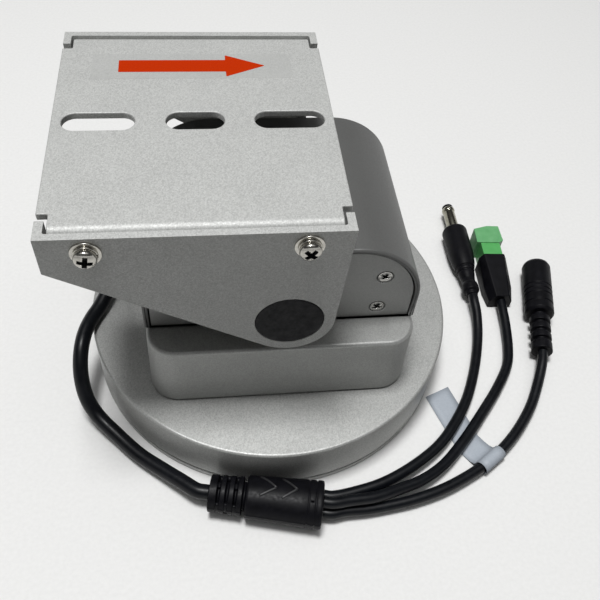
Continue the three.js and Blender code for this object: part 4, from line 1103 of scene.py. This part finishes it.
def relief_web(start, end, centre, half):
    """Bridge between two ribs, from the core nearly up to the ribs' height."""
    angles = [math.radians(centre + half * (k / 3 - 1)) for k in range(7)]
    rings = []
    for s in (start, end):
        outer = [splitter_point(s, a, RELIEF_STEP + 0.15) for a in angles]
        inner = [splitter_point(s, a, RELIEF_CUT + 0.3) for a in reversed(angles)]
        rings.append(outer + inner)
    return loft(rings)


def raised_line(start, end, width=0.66, height=0.42, steps=10):
    """Rounded bead over the body between two places, given by length and angle."""
    places = []
    for k in range(steps + 1):
        s = start[0] + (end[0] - start[0]) * k / steps
        a = math.radians(start[1] + (end[1] - start[1]) * k / steps)
        w, h = splitter_size(s)
        places.append((splitter_point(s, a), Vector((0, math.cos(a) / w, math.sin(a) / h)).normalized()))
    run = (places[-1][0] - places[0][0]).normalized()
    section = [(-1, -0.6), (-1, 0.45), (-0.55, 1), (0.55, 1), (1, 0.45), (1, -0.6)]
    rings = []
    for point, normal in places:
        side = normal.cross(run).normalized()
        rings.append([point + side * (x * width / 2) + normal * (z * height) for x, z in section])
    return loft(rings)


def make_splitter():
    lay = [turn(SPLITTER_TURN, "Z"), shift(*SPLITTER_START, 0)]
    pitch = (RELIEF_L - RELIEF_LIP) / RELIEF_RIBS
    rings = []
    gaps = []
    start = 0
    for i in range(RELIEF_RIBS):
        end = RELIEF_LIP + (i + RIB_SHARE) * pitch
        foot = RELIEF_LIP + (i + 1) * pitch
        for s, inset in (
            (start, RIB_EDGE), (start + RIB_ROUND, RIB_ROUND), (start + RIB_EDGE, 0),
            (end - RIB_EDGE, 0), (end - RIB_ROUND, RIB_ROUND), (end, RIB_EDGE),
        ):
            rings.append(splitter_ring(s, RELIEF_STEP + inset))
        rings += [splitter_ring(end + 0.02, RELIEF_CUT), splitter_ring(foot - 0.02, RELIEF_CUT)]
        gaps.append((end - 0.1, foot + 0.1))
        start = foot
    for s, inset in ((0, 0.6), (0.12, 0.3), (0.4, 0.09), (0.9, 0)):
        rings.append(splitter_ring(RELIEF_L + s, inset))
    rings += [splitter_ring(s) for s in (15, 18, 21, 24, 27)]
    for groove in RING_GROOVES:
        for s, inset in ((0, 0), (0.12, 0.3), (0.55, 0.3), (0.7, 0)):
            rings.append(splitter_ring(groove + s, inset))
    for s, inset in ((0.8, 0), (0.35, 0.1), (0.1, 0.3), (0, 0.6)):
        rings.append(splitter_ring(SPLITTER_L - s, inset))
    body = solid("splitter_form", loft(rings))
    at = splitter_point(PIN_HOLE_AT, math.radians(105))
    hole = prism(arc(0, 0, PIN_HOLE_R, 0, 11 / 6 * math.pi, 11), -0.7, 1)
    cut(body, moved(hole, turn(math.radians(15), "X"), shift(*at)))
    body.data.transform(in_metres(lay))
    weigh(dress(body, MOULDED, HEAD, "splitter", BLACK))
    webs = [moved(relief_web(*gap, *web), *lay) for gap, row in zip(gaps, RELIEF_WEBS) for web in row]
    piece("splitter_webs", merged(webs), MOULDED, HEAD, slot=BLACK)
    lines = [moved(raised_line(mark[1], end), *lay) for mark in CHEVRONS for end in (mark[0], mark[2])]
    weigh(piece("splitter_chevrons", merged(lines), EDGES, HEAD, slot=BLACK))


def merged(parts):
    """One bmesh of several."""
    whole = bmesh.new()
    for part in parts:
        mesh = bpy.data.meshes.new("part")
        part.to_mesh(mesh)
        part.free()
        whole.from_mesh(mesh)
        bpy.data.meshes.remove(mesh)
    return whole


# Connectors
PLUG_AT = (78.2, 8.4)
PLUG_TURN = math.radians(1.9)
PLUG_R = 5
PLUG_L = 33.8
BARREL_R = 2.35
BEAD_R = 2.6
BARREL_L = 13.8
TERMINAL_AT = (89.1, 6)
TERMINAL_TURN = math.radians(3.7)
SOCKET_AT = (96.85, -19.2)
SOCKET_TURN = math.radians(14.8)
SOCKET_R = 5.4
SOCKET_L = 42
SOCKET_RELIEF_L = 16.8
SOCKET_RELIEF_R = 3.75
SOCKET_LIP = 1.3
SOCKET_RIBS = 4
SOCKET_GROOVES = (20.6, 24.4, 26.6, 28.8)


def lying(at, angle, height):
    """Lay a body built along +Z along the floor, turned from +Y towards +X."""
    return [ALONG_Y, turn(-angle, "Z"), shift(*at, height)]


def make_plug():
    lay = lying(PLUG_AT, PLUG_TURN, PLUG_R + FLOOR_PLAY)
    end = PLUG_L
    collar = [
        (0, 0), (2.2, 0), (2.2, 1.4), (2.8, 1.5), (3.15, 2), (3.2, 4), (3, 5), (2.6, 5.8), (2.6, 7.4),
    ]
    rings = [
        (3, 9.4), (3.2, 10.6), (2.95, 10.8), (3, 11.3), (3.4, 11.5), (3.6, 12.5), (3.35, 12.7),
        (3.4, 13.2), (3.85, 13.4),
    ]
    grip = [
        (4.4, 15.8), (4.75, 18.4), (PLUG_R, 21.4), (PLUG_R, end - 0.9), (PLUG_R - 0.3, end - 0.2),
        (PLUG_R - 0.8, end), (0, end),
    ]
    profile = soften([*collar, *rings, *grip], 0.35, 3, closed=False)
    turned("plug_grip", profile, MID, lay, MOULDED, HEAD, BLACK)
    foot = end + 0.1
    tip = foot + BARREL_L
    neck = BARREL_R - 0.3
    bead = [
        (neck + (BEAD_R - neck) * math.sin(a), tip - 2.3 - 1.1 * math.cos(a))
        for a in (math.pi * k / 10 for k in range(11))
    ]
    barrel = [
        (0, foot), (BARREL_R, foot), (BARREL_R, tip - 3.7), *bead, (1.5, tip - 1.2), (1.25, foot + 2),
        (0, foot + 2),
    ]
    turned("plug_barrel", barrel, MID, lay, BARREL, HEAD, PLATED)
    ring = soften([(1.3, tip - 1.3), (2.2, tip - 1.3), (2.2, tip), (1.4, tip)], 0.4)
    piece("plug_barrel_insulator", moved(revolve(ring, MID), *lay), MOULDED, HEAD, slot=BLACK)


def make_socket():
    lay = lying(SOCKET_AT, SOCKET_TURN, SOCKET_R + FLOOR_PLAY)
    pitch = (SOCKET_RELIEF_L - SOCKET_LIP) / SOCKET_RIBS
    core, groove, end = SOCKET_RELIEF_R - 1.05, SOCKET_R - 0.32, SOCKET_L
    profile = [(0, 0)]
    start = 0
    for i in range(SOCKET_RIBS):
        stop = SOCKET_LIP + (i + RIB_SHARE) * pitch
        foot = SOCKET_LIP + (i + 1) * pitch
        profile += [
            (SOCKET_RELIEF_R, start), (SOCKET_RELIEF_R, stop), (core, stop + 0.12), (core, foot - 0.12),
        ]
        start = foot
    profile += [(SOCKET_R - 0.7, SOCKET_RELIEF_L), (SOCKET_R, SOCKET_RELIEF_L + 0.9)]
    for s in SOCKET_GROOVES:
        profile += [(SOCKET_R, s), (groove, s + 0.2), (groove, s + 0.6), (SOCKET_R, s + 0.8)]
    profile += [
        (SOCKET_R, end - 1.6), (SOCKET_R - 0.5, end - 0.4), (SOCKET_R - 1.3, end), (3, end), (3, end - 9),
        (1.05, end - 9), (1.05, end - 1.2), (0, end - 1),
    ]
    grip = soften(profile, 0.3, 3, closed=False)
    turned("socket_grip", grip, MID, lay, MOULDED, HEAD, BLACK)


HOOD_L = 19.3
HOOD_W = (8.8, 10.8)
HOOD_TOP_W = (5, 8)
HOOD_H = (7, 9.6)
HOOD_WALL_H = (3.4, 7)
HOOD_CORNER_L = 6
TERMINAL_W = 10.7
TERMINAL_NECK_W = 7.6
TERMINAL_NECK_L = 6.2
TERMINAL_L = 15.2
NECK_DROP = 0.45


def make_terminal():
    lay = [turn(-TERMINAL_TURN, "Z"), shift(*TERMINAL_AT, 0)]

    def ring(s, w):
        top, h, wall = [a + (b - a) * s / HOOD_L for a, b in (HOOD_TOP_W, HOOD_H, HOOD_WALL_H)]
        points = [(w / 2, 0), (w / 2, wall), (top / 2, h), (-top / 2, h), (-w / 2, wall), (-w / 2, 0)]
        return [(x, s, z + FLOOR_PLAY) for x, z in points]

    rings = [ring(0, HOOD_W[0]), ring(HOOD_CORNER_L, HOOD_W[1]), ring(HOOD_L, HOOD_W[1])]
    hood = piece("terminal_hood_form", moved(loft(rings), *lay), MOULDED, HEAD, "terminal_hood", BLACK)
    finish_edges(hood, 0.35, limit=12)
    top = box("terminal_block")[1].z
    n, w = TERMINAL_NECK_W / 2, TERMINAL_W / 2
    y0 = HOOD_L + 0.1
    shoulder = y0 + TERMINAL_NECK_L
    y1 = y0 + TERMINAL_L
    stem = [(-n, y0), (n, y0), (n, shoulder + 1), (-n, shoulder + 1)]
    neck = piece("terminal_neck_form", moved(prism(stem, FLOOR_PLAY, top - NECK_DROP), *lay), GREEN, HEAD,
                 slot="green_plastic")
    finish_edges(neck, 0.2)
    outline = [
        (-n, shoulder), (n, shoulder), (w, shoulder + 1.2), (w - 0.4, y1), (5.5 - w, y1), (-w, y1 - 1.7),
        (-w, shoulder),
    ]
    block = solid("terminal_block_form", moved(prism(outline, FLOOR_PLAY, top), *lay))
    wires = [
        moved(prism(rounded_rect(1.5, 1.9, 0.3, 3), -1, 6), ALONG_Y, shift(x, y1 - 4, 4.2), *lay)
        for x in (-2.5, 2.5)
    ]
    cut(block, *wires)
    dress(block, GREEN_HAZE, HEAD, "terminal_block", "green_plastic")
    finish_edges(block, 0.25)


# Paper label folded round one tail
LABEL_FROM = (67.6, -57.9)
LABEL_TO = (56.4, -30)
LABEL_W = 9.5
LABEL_SLEEVE_TURN = math.radians(34)
LABEL_LIFT = 2.6
LABEL_T = 0.12
LABEL_REST = 0.26


def make_label():
    """Strip round the tail and down to the floor, then flat towards its free end."""
    start = Vector(LABEL_FROM)
    along = Vector(LABEL_TO) - start
    sleeve = Vector((math.cos(LABEL_SLEEVE_TURN), math.sin(LABEL_SLEEVE_TURN)))
    across = Vector((-sleeve.y, sleeve.x))
    radius = TAIL_D / 2 + 0.42
    angles = [math.radians(260 - 250 * k / 20) for k in range(21)]
    fold = [(radius * math.cos(a), LABEL_LIFT + radius * math.sin(a)) for a in angles]
    fold += [(2.6, 1.4), (4.2, 0.55), (6.0, 0.3), (9, LABEL_REST)]
    rows = [(start + across * s, sleeve, z) for s, z in fold]
    end_line = Vector((along.y, -along.x)).normalized()
    for k in range(1, 9):
        share = k / 8
        centre = start + across * 9 * (1 - share) + along * share
        rows.append((centre, sleeve.lerp(end_line, min(1, share * 1.6)).normalized(), LABEL_REST))
    bm = bmesh.new()
    grid = []
    for centre, direction, z in rows:
        left, right = centre - direction * LABEL_W / 2, centre + direction * LABEL_W / 2
        grid.append([bm.verts.new((*left.lerp(right, t / 4), z)) for t in range(5)])
    for a, b in zip(grid, grid[1:]):
        for i in range(4):
            bm.faces.new((a[i], a[i + 1], b[i + 1], b[i]))
    label = piece("cord_label_form", bm, PAPER, HEAD, "cord_label", "label_paper")
    thick = label.modifiers.new("thickness", "SOLIDIFY")
    thick.thickness = LABEL_T * MM
    thick.offset = 0


# Inner nodes keep their CAD solids
INNER = {
    "nylon": (NYLON, ["slide_ring"]),
    "machined_steel": (STEEL, [
        "pan_post", "pan_gear", "bearing_inner_race", "bearing_outer_race", "lock_nut", "pan_gear_motor",
        "tilt_gear_motor", "pan_pinion", "tilt_pinion", "tilt_gear",
    ]),
    SATIN: (ALUMINIUM, ["turntable"]),
    "circuit_board": (BOARD, ["control_board"]),
}


def dress_inner_nodes():
    for name, (material, nodes) in INNER.items():
        for node in nodes:
            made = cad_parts[node]
            made.data.materials.clear()
            made.data.materials.append(material)


CORDS = [
    ("main_cable", MAIN_ROUTE, MAIN_D, "connector",
     ["splitter_form", "splitter_webs", "splitter_chevrons"]),
    ("tail_to_plug", PLUG_ROUTE, TAIL_D, "plug",
     ["plug_grip_form", "plug_barrel_form", "plug_barrel_insulator"]),
    ("tail_to_terminal", TERMINAL_ROUTE, TAIL_D, "connector",
     ["terminal_hood_form", "terminal_neck_form", "terminal_block_form"]),
    ("tail_to_socket", SOCKET_ROUTE, TAIL_D, "connector", ["socket_grip_form", "cord_label_form"]),
]


make_base()
make_block()
make_housing()
for each_side in SIDES:
    make_end(*each_side)
    make_side_plate(*each_side)
make_shaft()
make_platform()
make_fasteners()
make_gland()
make_splitter()
make_plug()
make_socket()
make_terminal()
make_label()
for cord_row in CORDS:
    make_cord(*cord_row)
dress_inner_nodes()
